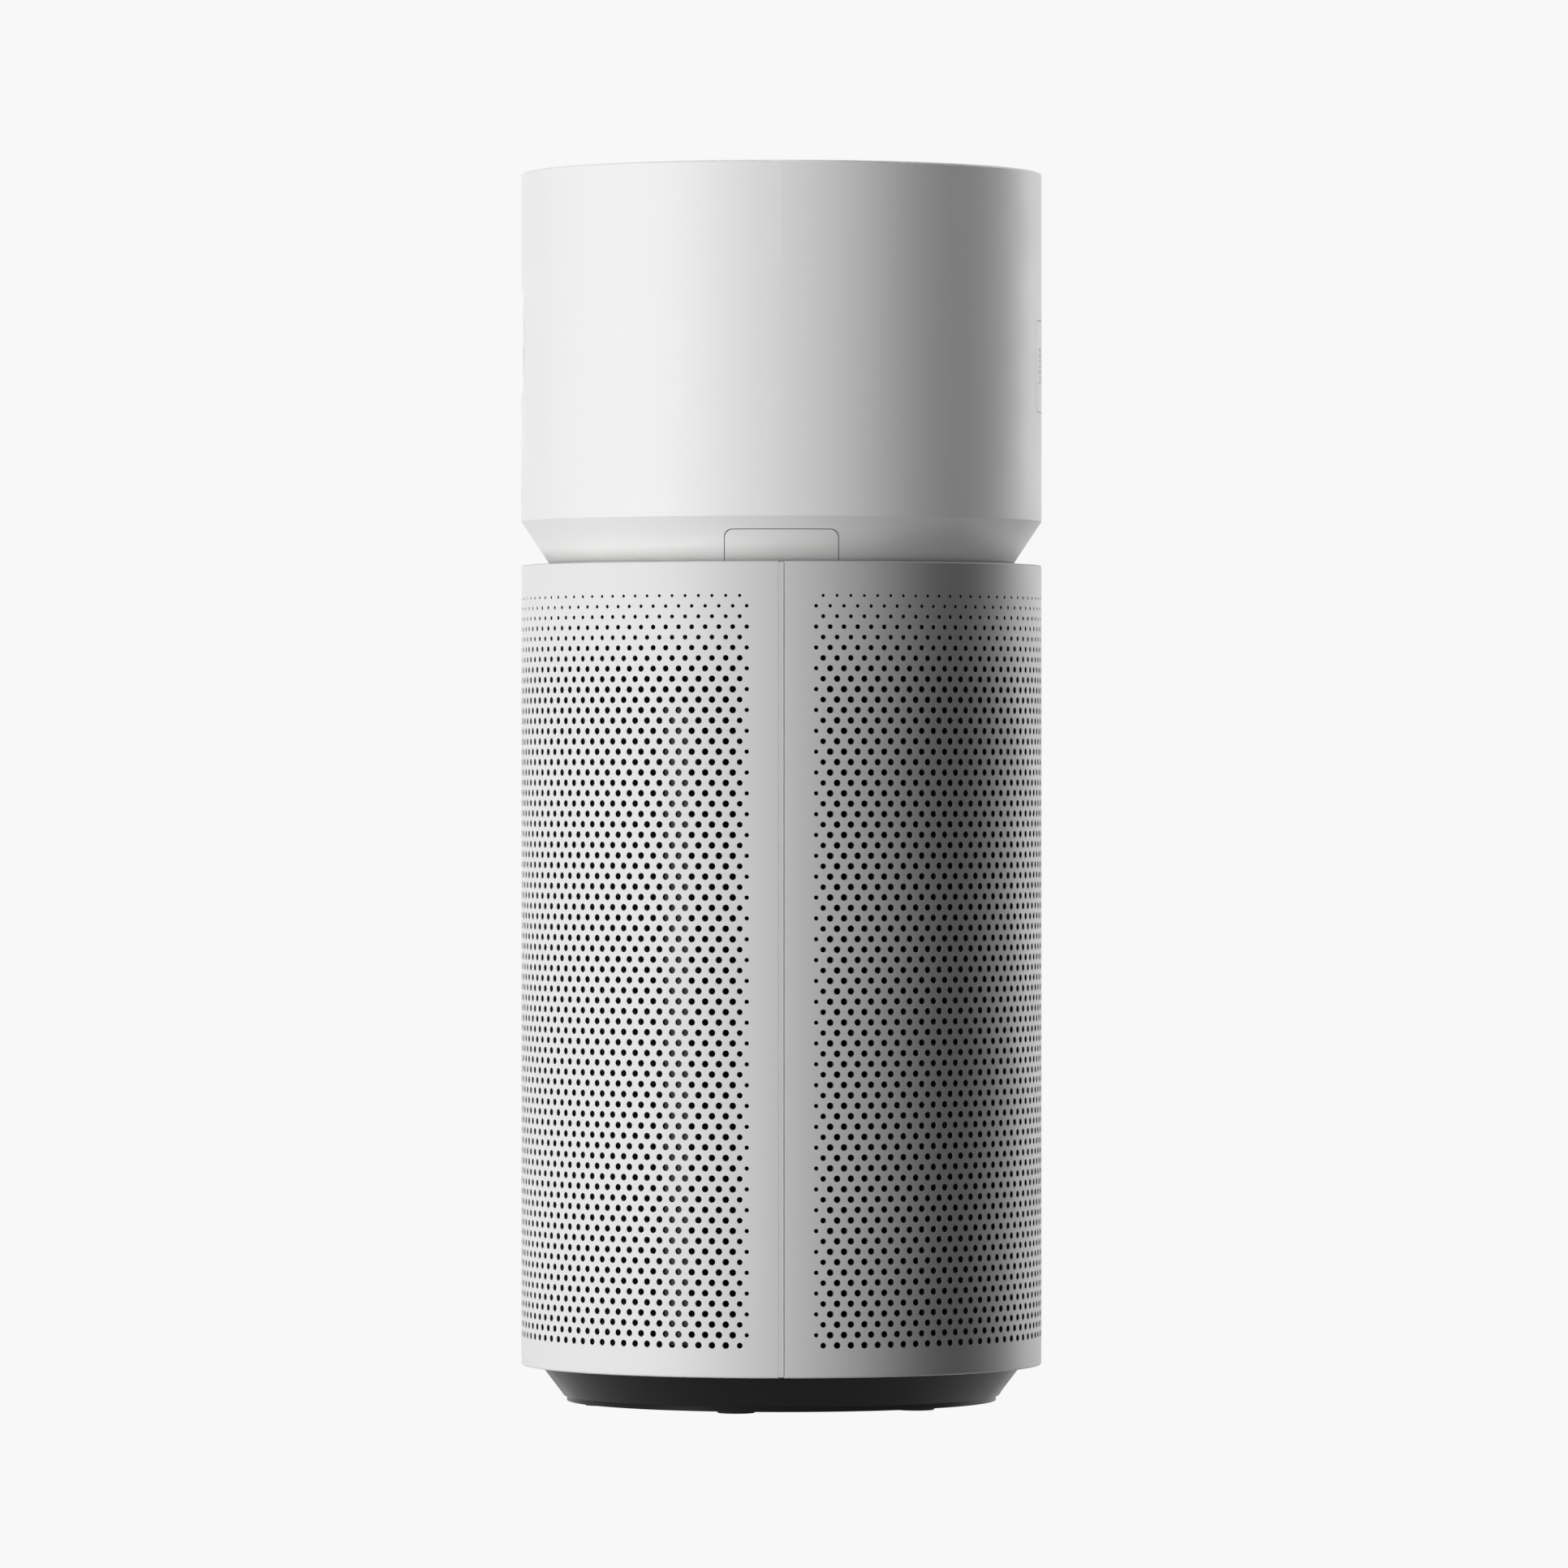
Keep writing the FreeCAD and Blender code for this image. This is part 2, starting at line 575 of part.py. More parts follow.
# ---------------------------------------------------------------- fan and motor
def fan_duct():
    duct = revolve([
        (DUCT_R, INTAKE_FLOOR), (DUCT_OUT_R, INTAKE_FLOOR), (DUCT_OUT_R, DUCT_Z1),
        (UPPER_DUCT_R, DUCT_Z1), (UPPER_DUCT_R, POD_Z0), (DUCT_R, POD_Z0),
    ])
    core = tube(DUCT_R + OVERLAP, 0, 0, TOTAL_H)
    half = SPRING_PITCH / 2.0 + SEAT_R + PAD_EDGE
    pad = box(DUCT_R / 2.0, PAD_X, -half, half, BUTTON_Z - PAD_H / 2.0, BUTTON_Z + PAD_H / 2.0).cut(core)
    pins = []
    for y in (-GUIDE_PITCH / 2.0, GUIDE_PITCH / 2.0):
        start = V(PAD_X - OVERLAP, y, BUTTON_Z)
        pins.append(Part.makeCylinder(GUIDE_R, GUIDE_L + OVERLAP, start, V(1, 0, 0)))
    sensor_pad = box(-SENSOR_PAD_W / 2.0, SENSOR_PAD_W / 2.0, DUCT_OUT_R - 0.75 * DUCT_WALL, sensor_y0(),
                     LID_Z - SENSOR_PAD_H / 2.0, LID_Z + SENSOR_PAD_H / 2.0)
    upper_core = tube(UPPER_DUCT_R + OVERLAP, 0, 0, TOTAL_H)
    reach = CONTROL_W / 2.0 - CONTROL_SCREW_INSET
    posts = []
    for x in (-reach, reach):
        for z in (control_z0() + CONTROL_SCREW_INSET, control_z0() + CONTROL_H - CONTROL_SCREW_INSET):
            posts.append(disc_y(CONTROL_POST_R, -control_y(), -UPPER_DUCT_R / 2.0, x, z).cut(upper_core))
    return fuse([duct, sensor_pad] + both_sides(fuse([pad] + pins)) + posts)


def sensor_y0():
    return DUCT_OUT_R + SENSOR_STAND


def control_y():
    return DUCT_OUT_R + CONTROL_STAND


def control_z0():
    return DISPLAY_Z - CONTROL_H / 2.0


def curved_blade(r_in, r_out, sweep, thickness, z0, z1):
    """Backward-curved blade: two arcs the blade's thickness apart, drawn up from z0 to z1."""
    arcs = []
    for lead in (0.0, math.degrees(thickness / r_out)):
        points = []
        for share, turn in ((0.0, 0.0), (0.5, BLADE_BOW), (1.0, 1.0)):
            r = r_in + (r_out - r_in) * share
            a = math.radians(lead - sweep * turn)
            points.append(V(r * math.cos(a), r * math.sin(a), z0))
        arcs.append(points)
    first, second = arcs
    edges = [
        Part.Arc(*first).toShape(),
        Part.LineSegment(first[2], second[2]).toShape(),
        Part.Arc(*reversed(second)).toShape(),
        Part.LineSegment(second[0], first[0]).toShape(),
    ]
    return Part.Face(Part.Wire(edges)).extrude(V(0, 0, z1 - z0))


def impeller():
    shroud = tube(FAN_R, THROAT_R, FAN_Z0, FAN_Z0 + FAN_PLATE_T)
    plate_z = FAN_Z1 - FAN_PLATE_T
    plate = tube(FAN_R - FAN_PLATE_INSET, 0, plate_z, FAN_Z1)
    cone = revolve([(0, hub_z0()), (FAN_HUB_R, hub_z0()), (BLADE_ROOT_R + HUB_FLARE, plate_z), (0, plate_z)])
    blade = curved_blade(BLADE_ROOT_R, FAN_R - BLADE_TIP_INSET, BLADE_SWEEP, BLADE_T,
                         FAN_Z0 + FAN_PLATE_T / 2.0, FAN_Z1 - FAN_PLATE_T / 2.0)
    bore = tube(SHAFT_R + PIN_FIT, 0, FAN_Z0 - BLADE_H, FAN_Z1 + THROUGH)
    return cut(fuse([shroud, plate, cone] + ring_of(blade, BLADE_COUNT)), [bore])


def hub_z0():
    return FAN_Z0 + BLADE_H / 2.0


def impeller_nut():
    r = NUT_AF / math.sqrt(3.0)
    corners = [V(r * math.cos(math.pi * i / 3.0), r * math.sin(math.pi * i / 3.0), hub_z0() - NUT_H)
               for i in range(7)]
    nut = Part.Face(Part.makePolygon(corners)).extrude(V(0, 0, NUT_H))
    return nut.cut(tube(SHAFT_R + PIN_FIT, 0, hub_z0() - NUT_H, hub_z0()))


def motor_shaft():
    z0 = hub_z0() - NUT_H - SHAFT_PROUD
    return Part.makeCylinder(SHAFT_R, SHAFT_Z1 - z0, V(0, 0, z0))


def stator_z0():
    return POD_Z0 + POD_WALL + BEARING_W + WINDING_ROOM


def motor_rotor():
    return tube(ROTOR_R, SHAFT_R + PIN_FIT, stator_z0(), stator_z0() + STATOR_H)


def motor_stator():
    """Laminated ring with its winding slots."""
    z0, z1 = stator_z0(), stator_z0() + STATOR_H
    half = SLOT_W / 2.0
    slot = box(STATOR_BORE + SLOT_IN, STATOR_R - SLOT_OUT, -half, half, z0 - THROUGH, z1 + THROUGH)
    return cut(tube(STATOR_R, STATOR_BORE, z0, z1), ring_of(slot, SLOT_COUNT))


def upper_bearing_z1():
    return POD_Z1 - POD_WALL + BEARING_RISE


def motor_bearings():
    levels = (POD_Z0 + POD_WALL, upper_bearing_z1() - BEARING_W)
    return Part.makeCompound([tube(BEARING_R, SHAFT_R + SHAFT_FIT, z, z + BEARING_W) for z in levels])


def diffuser():
    """Motor pod, the vanes that hold it, and the outer ring that stands on the duct's step."""
    floor_z = POD_Z0 + POD_WALL
    ledge_r = STATOR_R - STATOR_SEAT
    seat_r, seat_out_r = BEARING_R + PIN_FIT, BEARING_R + BEARING_WALL
    hole_r = SHAFT_R + SHAFT_HOLE
    pod = revolve([
        (hole_r, POD_Z0), (POD_R, POD_Z0), (POD_R, POD_Z1), (POD_R - POD_WALL, POD_Z1),
        (POD_R - POD_WALL, stator_z0()), (ledge_r, stator_z0()), (ledge_r, floor_z),
        (seat_out_r, floor_z), (seat_out_r, floor_z + BEARING_W), (seat_r, floor_z + BEARING_W),
        (seat_r, floor_z), (hole_r, floor_z),
    ])
    ring_out = UPPER_DUCT_R - BODY_GAP
    ring_in = ring_out - VANE_RING_T
    rim = tube(ring_out, ring_in, POD_Z0, POD_Z1)
    vane = box(POD_R / 2.0, FAR, -VANE_T / 2.0, VANE_T / 2.0, -FAR, FAR)
    vane.rotate(V(0, 0, 0), V(1, 0, 0), VANE_TILT)
    vane.translate(V(0, 0, (POD_Z0 + POD_Z1) / 2.0))
    gap = tube(ring_in + VANE_RING_T / 2.0, POD_R - POD_WALL / 2.0, POD_Z0 + VANE_INSET, POD_Z1 - VANE_INSET)
    return fuse([pod, rim] + ring_of(vane.common(gap), VANE_COUNT))


def motor_cap():
    top = upper_bearing_z1()
    seat_r, seat_out_r = BEARING_R + PIN_FIT, BEARING_R + BEARING_WALL
    cap_z1 = POD_Z1 + MOTOR_CAP_H
    return revolve([
        (0, top), (seat_r, top), (seat_r, top - BEARING_W), (seat_out_r, top - BEARING_W),
        (seat_out_r, POD_Z1), (POD_R, POD_Z1), (POD_R, POD_Z1 + MOTOR_CAP_EDGE),
        (POD_R - MOTOR_CAP_SHOULDER, cap_z1), (0, cap_z1),
    ])


def control_board():
    y = -control_y() - BOARD_T
    z0 = control_z0()
    pieces = [box(-CONTROL_W / 2.0, CONTROL_W / 2.0, y, y + BOARD_T, z0, z0 + CONTROL_H)]
    for x, up, width, height, depth in CONTROL_PARTS:
        pieces.append(box(x - width / 2.0, x + width / 2.0, y - depth, y,
                          z0 + up - height / 2.0, z0 + up + height / 2.0))
    return fuse(pieces)


# ---------------------------------------------------------------- upper drum
def cone_solid(inset):
    """Waist cone filled in to the axis, with its surface moved in by inset."""
    return revolve([
        (0, CONE_Z0), (SHELL_FOOT_R - inset, CONE_Z0), (BODY_R - inset, DRUM_Z0), (0, DRUM_Z0),
    ])


def upper_shell():
    shell = revolve([
        (SHELL_FOOT_R, CONE_Z0), (BODY_R, DRUM_Z0), (BODY_R, TOTAL_H), (SHELL_IN_R, TOTAL_H),
        (SHELL_IN_R, DRUM_Z0 + WAIST_CORNER), (BODY_R - BUTTON_WALL, DRUM_Z0),
        (SHELL_FOOT_R - BUTTON_WALL, CONE_Z0),
    ])
    shell = soften_circles(shell, SHELL_EDGE, [(BODY_R, TOTAL_H)])
    shell = soften_circles(shell, SHELL_EDGE / 2.0, [(SHELL_IN_R, TOTAL_H), (BODY_R, DRUM_Z0)])
    whole = tube(BODY_R, 0, DRUM_Z0, TOTAL_H)
    back_y = FACET_Y + FACET_BACK
    pad = disc_y(FACET_R + FACET_PAD, -BODY_R, back_y, 0, DISPLAY_Z).common(whole)
    flat = disc_y(FACET_R, -BODY_R - THROUGH, FACET_Y, 0, DISPLAY_Z)
    bezel_hole = disc_y(BEZEL_R + BODY_GAP / 2.0, -BODY_R, back_y + THROUGH, 0, DISPLAY_Z)
    frame = lid_prism(LID_FRAME).common(tube(SHELL_IN_R, SHELL_IN_R - SHELL_WALL, DRUM_Z0, TOTAL_H))
    lid_hole = lid_prism(2.0 * BODY_GAP).common(tube(BODY_R + THROUGH, SHELL_IN_R, DRUM_Z0, TOTAL_H))
    frame_hole = lid_prism(-2.0 * LID_LIP)
    window = prism_x(BUTTON_W, BUTTON_Z0 - BUTTON_CORNER, BUTTON_Z1, BUTTON_CORNER, DUCT_OUT_R, BODY_R)
    return cut(fuse([shell, pad, frame]), [flat, bezel_hole, lid_hole, frame_hole] + both_sides(window))


def lid_prism(extra):
    """Rounded rectangle of the sensor lid, widened by extra all over, drawn out along +Y."""
    half = (LID_H + extra) / 2.0
    corner = LID_CORNER + extra / 2.0
    return prism_y(LID_W + extra, LID_Z - half, LID_Z + half, corner, BODY_R / 2.0, BODY_R + THROUGH)


def sensor_lid():
    lid = lid_prism(0.0).common(tube(BODY_R, BODY_R - LID_T, DRUM_Z0, TOTAL_H))
    reach = LID_H / 2.0 - LID_LIP - BODY_GAP
    tabs = []
    for z in (LID_Z - reach, LID_Z + reach - SNAP_T):
        tabs.append(box(-SNAP_W / 2.0, SNAP_W / 2.0, BODY_R - SNAP_L, BODY_R - LID_T / 2.0, z, z + SNAP_T))
    vents = []
    for row in range(VENT_ROWS):
        columns = VENT_COLS - row % 2
        for column in range(columns):
            x = (column - (columns - 1) / 2.0) * VENT_PITCH * 2.0
            z = LID_Z + (row - (VENT_ROWS - 1) / 2.0) * VENT_PITCH
            vents.append(disc_y(VENT_R, BODY_R / 2.0, BODY_R + THROUGH, x, z))
    return cut(fuse([lid] + tabs), vents)


def sensor_module():
    y0 = sensor_y0()
    y1 = y0 + SENSOR_D
    body = box(-SENSOR_W / 2.0, SENSOR_W / 2.0, y0, y1, LID_Z - SENSOR_H / 2.0, LID_Z + SENSOR_H / 2.0)
    lens = disc_y(LENS_R, y1 - LENS_D, y1 + THROUGH, LENS_X, LID_Z)
    slots = []
    for i in range(AIR_SLOTS):
        z = LID_Z + AIR_SLOT_PITCH * (i - (AIR_SLOTS - 1) / 2.0) - AIR_SLOT_H / 2.0
        slots.append(box(*AIR_SLOT_X, y1 - AIR_SLOT_D, y1 + THROUGH, z, z + AIR_SLOT_H))
    return cut(body, [lens] + slots)


def display_bezel():
    front = FACET_Y - BEZEL_PROUD
    back = FACET_Y + FACET_BACK
    seat = front + GLASS_SINK + GLASS_T
    bore = BEZEL_R - BEZEL_W
    flange = disc_y(BEZEL_R + BEZEL_FLANGE, back, back + BEZEL_FLANGE_T, 0, DISPLAY_Z)
    body = fuse([disc_y(BEZEL_R, front, back, 0, DISPLAY_Z), flange])
    wide = disc_y(bore, front, seat, 0, DISPLAY_Z)
    narrow = disc_y(bore - GLASS_SEAT, seat, back + BEZEL_FLANGE_T, 0, DISPLAY_Z)
    return cut(body, [wide, narrow])


def display_glass():
    front = FACET_Y - BEZEL_PROUD + GLASS_SINK
    return disc_y(BEZEL_R - BEZEL_W - 2.0 * PIN_FIT, front, front + GLASS_T, 0, DISPLAY_Z)


def display_board():
    front = FACET_Y + FACET_BACK + BEZEL_FLANGE_T
    back = front + BOARD_T
    board = disc_y(BEZEL_R + DISPLAY_BOARD_EDGE, front, back, 0, DISPLAY_Z)
    half = CHIP_W / 2.0
    chip = box(-half, half, back, back + CHIP_T, DISPLAY_Z - half, DISPLAY_Z + half)
    return fuse([board, chip])


# ---------------------------------------------------------------- release buttons
def release_button(side):
    """Flush panel in the waist cone, with a stem that slides on two pins of the fan duct."""
    width = BUTTON_W - 2.0 * BODY_GAP
    face = prism_x(width, BUTTON_Z0, BUTTON_Z1 - BODY_GAP, BUTTON_CORNER, DUCT_OUT_R, BODY_R)
    face = face.common(cone_solid(0.0)).cut(cone_solid(BUTTON_WALL))
    stem_z0 = BUTTON_Z - STEM_H / 2.0
    stem = box(STEM_IN_X, BODY_R, -STEM_W / 2.0, STEM_W / 2.0, stem_z0, stem_z0 + STEM_H)
    seats = []
    bores = []
    for turn in (-0.5, 0.5):
        seat_start = V(seat_x(), SPRING_PITCH * turn, BUTTON_Z)
        bore_start = V(STEM_IN_X, GUIDE_PITCH * turn, BUTTON_Z)
        seats.append(Part.makeCylinder(SEAT_R, BODY_R, seat_start, V(1, 0, 0)))
        bores.append(Part.makeCylinder(GUIDE_R + GUIDE_FIT, GUIDE_L + BODY_GAP, bore_start, V(1, 0, 0)))
    back = fuse([stem] + seats).common(cone_solid(BUTTON_WALL / 2.0))
    button = cut(fuse([face, back]), bores)
    return turned(button, 180) if side < 0 else button


def seat_x():
    return STEM_IN_X + SEAT_BACK


def release_springs(side):
    """Two coil springs between the fan duct and the button."""
    rise = seat_x() - PAD_X - 3.0 * SPRING_WIRE
    coil_r = SPRING_R - SPRING_WIRE
    springs = []
    for y in (-SPRING_PITCH / 2.0, SPRING_PITCH / 2.0):
        path = Part.makeHelix(rise / SPRING_TURNS, rise, coil_r)
        circle = Part.Wire(Part.makeCircle(SPRING_WIRE / 2.0, V(coil_r, 0, 0), V(0, 1, 0)))
        coil = Part.Wire(path.Edges).makePipeShell([circle], True, True)
        coil.rotate(V(0, 0, 0), V(0, 1, 0), 90)
        coil.translate(V(PAD_X + 1.5 * SPRING_WIRE, y, BUTTON_Z))
        springs.append(coil)
    group = Part.makeCompound(springs)
    return turned(group, 180) if side < 0 else group


# ---------------------------------------------------------------- outlet
def outlet_ring():
    """Dished ring between the top rim and the grille; its skirt fits round the fan duct."""
    top = TOTAL_H - RING_LIP
    low = top - RING_SLOPE_H
    outer = SHELL_IN_R - PIN_FIT
    foot_in = DUCT_OUT_R + PIN_FIT
    foot_out = foot_in + RING_T
    foot_z = DUCT_Z1 - RING_SKIRT
    return revolve([
        (outer, top), (foot_in, low), (foot_in, foot_z), (foot_out, foot_z), (foot_out, low - RING_T / 2.0),
        (outer, top - RING_T),
    ])


def outlet_grille():
    z0, z1 = DUCT_Z1, DUCT_Z1 + GRILLE_H
    rim = tube(DUCT_OUT_R, UPPER_DUCT_R - GRILLE_RIM_LAP, z0, z1)
    rings = [rim, tube(GRILLE_HUB_R, 0, z0, z1 - GRILLE_HUB_DROP)]
    half = GRILLE_BAR / 2.0
    r = GRILLE_HUB_R + GRILLE_PITCH
    while r < UPPER_DUCT_R - GRILLE_PITCH / 2.0:
        rings.append(tube(r + half, r - half, z0 + GRILLE_RING_UP, z1 - GRILLE_RING_DROP))
        r += GRILLE_PITCH
    rib = box(GRILLE_HUB_R - 2.0 * OVERLAP, UPPER_DUCT_R, -half, half, z0, z1 - GRILLE_RIB_DROP)
    return fuse(rings + ring_of(rib, GRILLE_RIBS))


def grille_cap():
    hub_z = DUCT_Z1 + GRILLE_H - GRILLE_HUB_DROP
    z0 = DUCT_Z1 + GRILLE_H - GRILLE_RING_DROP
    z1 = z0 + CAP_H
    return revolve([(0, hub_z), (GRILLE_HUB_R, hub_z), (GRILLE_HUB_R, z0), (CAP_R, z0),
                    (CAP_R, z0 + CAP_H / 2.0), (CAP_R - CAP_BEVEL, z1), (0, z1)])


# ---------------------------------------------------------------- covers
def cover():
    """Half cover on the -Y side; the perforations of its wall are left to the visible model."""
    wall = tube(BODY_R, COVER_IN_R, COVER_Z0, COVER_Z1)
    wall = soften_circles(wall, COVER_EDGE, [(BODY_R, COVER_Z0), (BODY_R, COVER_Z1)])
    low = tube(COVER_IN_R, FLANGE_IN_R, COVER_Z0, COVER_Z0 + COVER_FLANGE_T)
    high = tube(COVER_IN_R, FLANGE_IN_R, COVER_Z1 - COVER_FLANGE_T, COVER_Z1)
    near = POST_W / 2.0 + BODY_GAP
    floor, roof = COVER_Z0 + COVER_FLANGE_T / 2.0, COVER_Z1 - COVER_FLANGE_T / 2.0
    inside = tube(COVER_IN_R + COVER_WALL / 2.0, 0, floor, roof)
    pieces = [wall, low, high]
    for side in (-1, 1):
        x0, x1 = sorted((side * (COVER_IN_R - RIB_D), side * BODY_R))
        rib = box(x0, x1, -near - RIB_T, -near, floor, roof)
        pieces.append(rib.common(inside))
        for z in MAGNET_LEVELS:
            x0, x1 = sorted((side * (post_magnet_x() - MAGNET_BOSS), side * BODY_R))
            boss = box(x0, x1, -near - MAGNET_T - MAGNET_BACK, -near, z - MAGNET_BOSS, z + MAGNET_BOSS)
            pieces.append(boss.common(inside))
    for angle in (-STIFF_RIB_DEG, STIFF_RIB_DEG - 180.0):
        rib = box(COVER_IN_R - STIFF_RIB_D, BODY_R, -STIFF_RIB_T / 2.0, STIFF_RIB_T / 2.0, floor, roof)
        pieces.append(turned(rib, angle).common(inside))
    half_space = box(-FAR, FAR, -FAR, -SEAM_GAP / 2.0, 0, TOTAL_H)
    return cut(fuse(pieces).common(half_space), cover_magnet_discs(PIN_FIT))


def cover_magnet_discs(extra):
    y1 = -POST_W / 2.0 - BODY_GAP
    discs = []
    for z in MAGNET_LEVELS:
        for side in (-1, 1):
            discs.append(disc_y(MAGNET_R + extra, y1 - MAGNET_T, y1, side * post_magnet_x(), z))
    return discs


def cover_magnets():
    return Part.makeCompound(cover_magnet_discs(0.0))


# ---------------------------------------------------------------- filter
def end_cap(z, up):
    """Dish over one end of the filter: a plate with a lip round the outside and round the bore."""
    plate_in, plate_out = (z, z + CAP_T) if up else (z - CAP_T, z)
    lip_z0, lip_z1 = (z, z + CAP_LIP) if up else (z - CAP_LIP, z)
    return fuse([
        tube(FILTER_R, FILTER_BORE, plate_in, plate_out),
        tube(FILTER_R, FILTER_R - CAP_LIP_T, lip_z0, lip_z1),
        tube(FILTER_BORE + CAP_LIP_T, FILTER_BORE, lip_z0, lip_z1),
    ])


def media_radii():
    """Radii between the lips of the caps, outer and inner."""
    return FILTER_R - CAP_LIP_T - MEDIA_GAP, FILTER_BORE + CAP_LIP_T + MEDIA_GAP


def filter_core():
    """Perforated tube inside the pleats."""
    inner = media_radii()[1]
    z0, z1 = DECK_Z1 + CAP_T, FILTER_Z1 - CAP_T
    core = tube(inner + CORE_T, inner, z0, z1)
    pitch = (z1 - z0) / CORE_ROWS
    half = math.pi * inner / CORE_WINDOWS - WINDOW_RIB / 2.0
    windows = []
    for row in range(CORE_ROWS):
        low = z0 + pitch * row + WINDOW_EDGE
        window = box(inner / 2.0, FILTER_R, -half, half, low, low + pitch - 2.0 * WINDOW_EDGE)
        windows += ring_of(window, CORE_WINDOWS, 180.0 / CORE_WINDOWS)
    return cut(core, windows)


def filter_media():
    """Pleated paper: one zigzag wall between the core and the wrap."""
    outer, inner = media_radii()
    r_out = outer - WRAP_T - MEDIA_GAP
    r_in = inner + CORE_T + MEDIA_GAP
    step = 2.0 * math.pi / PLEATS
    outside = []
    inside = []
    peak_half, valley_half = PLEAT_T / r_out, PLEAT_T / r_in
    for i in range(PLEATS):
        peak, valley = step * i, step * (i + 0.5)
        outside += [(r_out, peak - peak_half), (r_out, peak + peak_half), (r_in + 2.0 * PLEAT_T, valley)]
        inside += [(r_out - 2.0 * PLEAT_T, peak), (r_in, valley - valley_half), (r_in, valley + valley_half)]
    faces = []
    for outline in (outside, inside):
        points = [V(r * math.cos(a), r * math.sin(a), DECK_Z1 + CAP_T) for r, a in outline]
        faces.append(Part.Face(Part.makePolygon(points + points[:1])))
    return faces[0].cut(faces[1]).extrude(V(0, 0, FILTER_Z1 - DECK_Z1 - 2.0 * CAP_T))


def filter_wrap():
    outer = media_radii()[0]
    return tube(outer, outer - WRAP_T, DECK_Z1 + CAP_T, FILTER_Z1 - CAP_T)


def sector(r_out, r_in, a0, a1, z0, z1):
    ring = Part.makeCylinder(r_out, z1 - z0, V(0, 0, z0), V(0, 0, 1), a1 - a0)
    core = Part.makeCylinder(r_in, z1 - z0, V(0, 0, z0), V(0, 0, 1), a1 - a0)
    return turned(ring.cut(core), a0)


def filter_strip():
    r = media_radii()[0] + STRIP_LIFT
    z0, z1 = DECK_Z1 + CAP_LIP + MEDIA_GAP, FILTER_Z1 - STRIP_TOP_GAP
    return sector(r + STRIP_T, r, STRIP_DEG[0], STRIP_DEG[1], z0, z1)


def filter_gasket():
    r = THROAT_R + GASKET_INSET
    return tube(r + GASKET_W, r, FILTER_Z1, FILTER_Z1 + GASKET_T)


def pull_tab():
    """Woven tab welded to the top cap's lip at the front."""
    r = FILTER_R + STRIP_LIFT
    half = math.degrees(TAB_W / 2.0 / FILTER_R)
    return sector(r + TAB_T, r, -90.0 - half, -90.0 + half, FILTER_Z1 - TAB_L, FILTER_Z1)


# ---------------------------------------------------------------- every node
save("base_pan", base_pan())
save("base_plate", base_plate())
save("base_screws", base_screws())
save("rubber_feet", rubber_feet())
save("power_inlet", power_inlet())
save("power_board", power_board())
save("filter_deck", filter_deck())
save("frame_post_right", frame_post(1))
save("frame_post_left", frame_post(-1))
save("post_magnets", post_magnets())
save("interlock_switch", interlock_switch())
save("intake_deck", intake_deck())
save("intake_guard", intake_guard())
save("fan_duct", fan_duct())
save("diffuser", diffuser())
save("motor_cap", motor_cap())
save("motor_stator", motor_stator())
save("motor_bearings", motor_bearings())
save("motor_rotor", motor_rotor())
save("motor_shaft", motor_shaft())
save("impeller", impeller())
save("impeller_nut", impeller_nut())
save("control_board", control_board())
save("upper_shell", upper_shell())
save("outlet_ring", outlet_ring())
save("outlet_grille", outlet_grille())
save("grille_cap", grille_cap())
save("display_bezel", display_bezel())
save("display_glass", display_glass())
save("display_board", display_board())
save("sensor_module", sensor_module())
save("sensor_lid", sensor_lid())
save("release_button_right", release_button(1))
save("release_button_left", release_button(-1))
save("release_springs_right", release_springs(1))
save("release_springs_left", release_springs(-1))
save("front_cover", cover())
save("front_cover_magnets", cover_magnets())
save("rear_cover", turned(cover(), 180))
save("rear_cover_magnets", turned(cover_magnets(), 180))
save("filter_bottom_cap", end_cap(DECK_Z1, True))
save("filter_top_cap", end_cap(FILTER_Z1, False))
save("filter_core", filter_core())
save("filter_media", filter_media())
save("filter_wrap", filter_wrap())
save("filter_strip", filter_strip())
save("filter_gasket", filter_gasket())
save("filter_pull_tab", pull_tab())
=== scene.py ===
import json
import math

import bpy
import numpy as np
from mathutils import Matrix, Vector


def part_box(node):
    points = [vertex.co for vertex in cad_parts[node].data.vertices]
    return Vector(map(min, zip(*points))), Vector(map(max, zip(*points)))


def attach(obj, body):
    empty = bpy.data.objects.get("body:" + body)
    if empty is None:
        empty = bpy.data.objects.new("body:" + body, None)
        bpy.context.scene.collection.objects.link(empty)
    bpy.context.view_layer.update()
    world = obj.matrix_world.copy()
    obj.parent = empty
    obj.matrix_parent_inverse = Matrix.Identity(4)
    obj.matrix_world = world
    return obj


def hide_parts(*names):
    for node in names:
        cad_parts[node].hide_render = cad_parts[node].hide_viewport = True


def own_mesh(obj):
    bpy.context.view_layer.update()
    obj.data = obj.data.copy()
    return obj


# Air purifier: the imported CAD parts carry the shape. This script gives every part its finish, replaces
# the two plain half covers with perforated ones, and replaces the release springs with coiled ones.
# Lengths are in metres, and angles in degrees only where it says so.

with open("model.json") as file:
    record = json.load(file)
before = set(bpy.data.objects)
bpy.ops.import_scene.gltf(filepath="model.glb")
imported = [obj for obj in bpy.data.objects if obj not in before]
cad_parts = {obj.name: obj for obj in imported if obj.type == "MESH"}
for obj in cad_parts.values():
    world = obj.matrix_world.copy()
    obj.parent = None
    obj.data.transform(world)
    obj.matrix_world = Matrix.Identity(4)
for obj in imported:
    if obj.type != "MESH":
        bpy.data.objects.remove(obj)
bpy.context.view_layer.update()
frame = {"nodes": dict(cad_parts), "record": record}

# ---------------------------------------------------------------- the object's places
MM = 0.001
COVER_LO, COVER_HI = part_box("front_cover")
COVER_R = -COVER_LO.y                       # outside radius of both drums
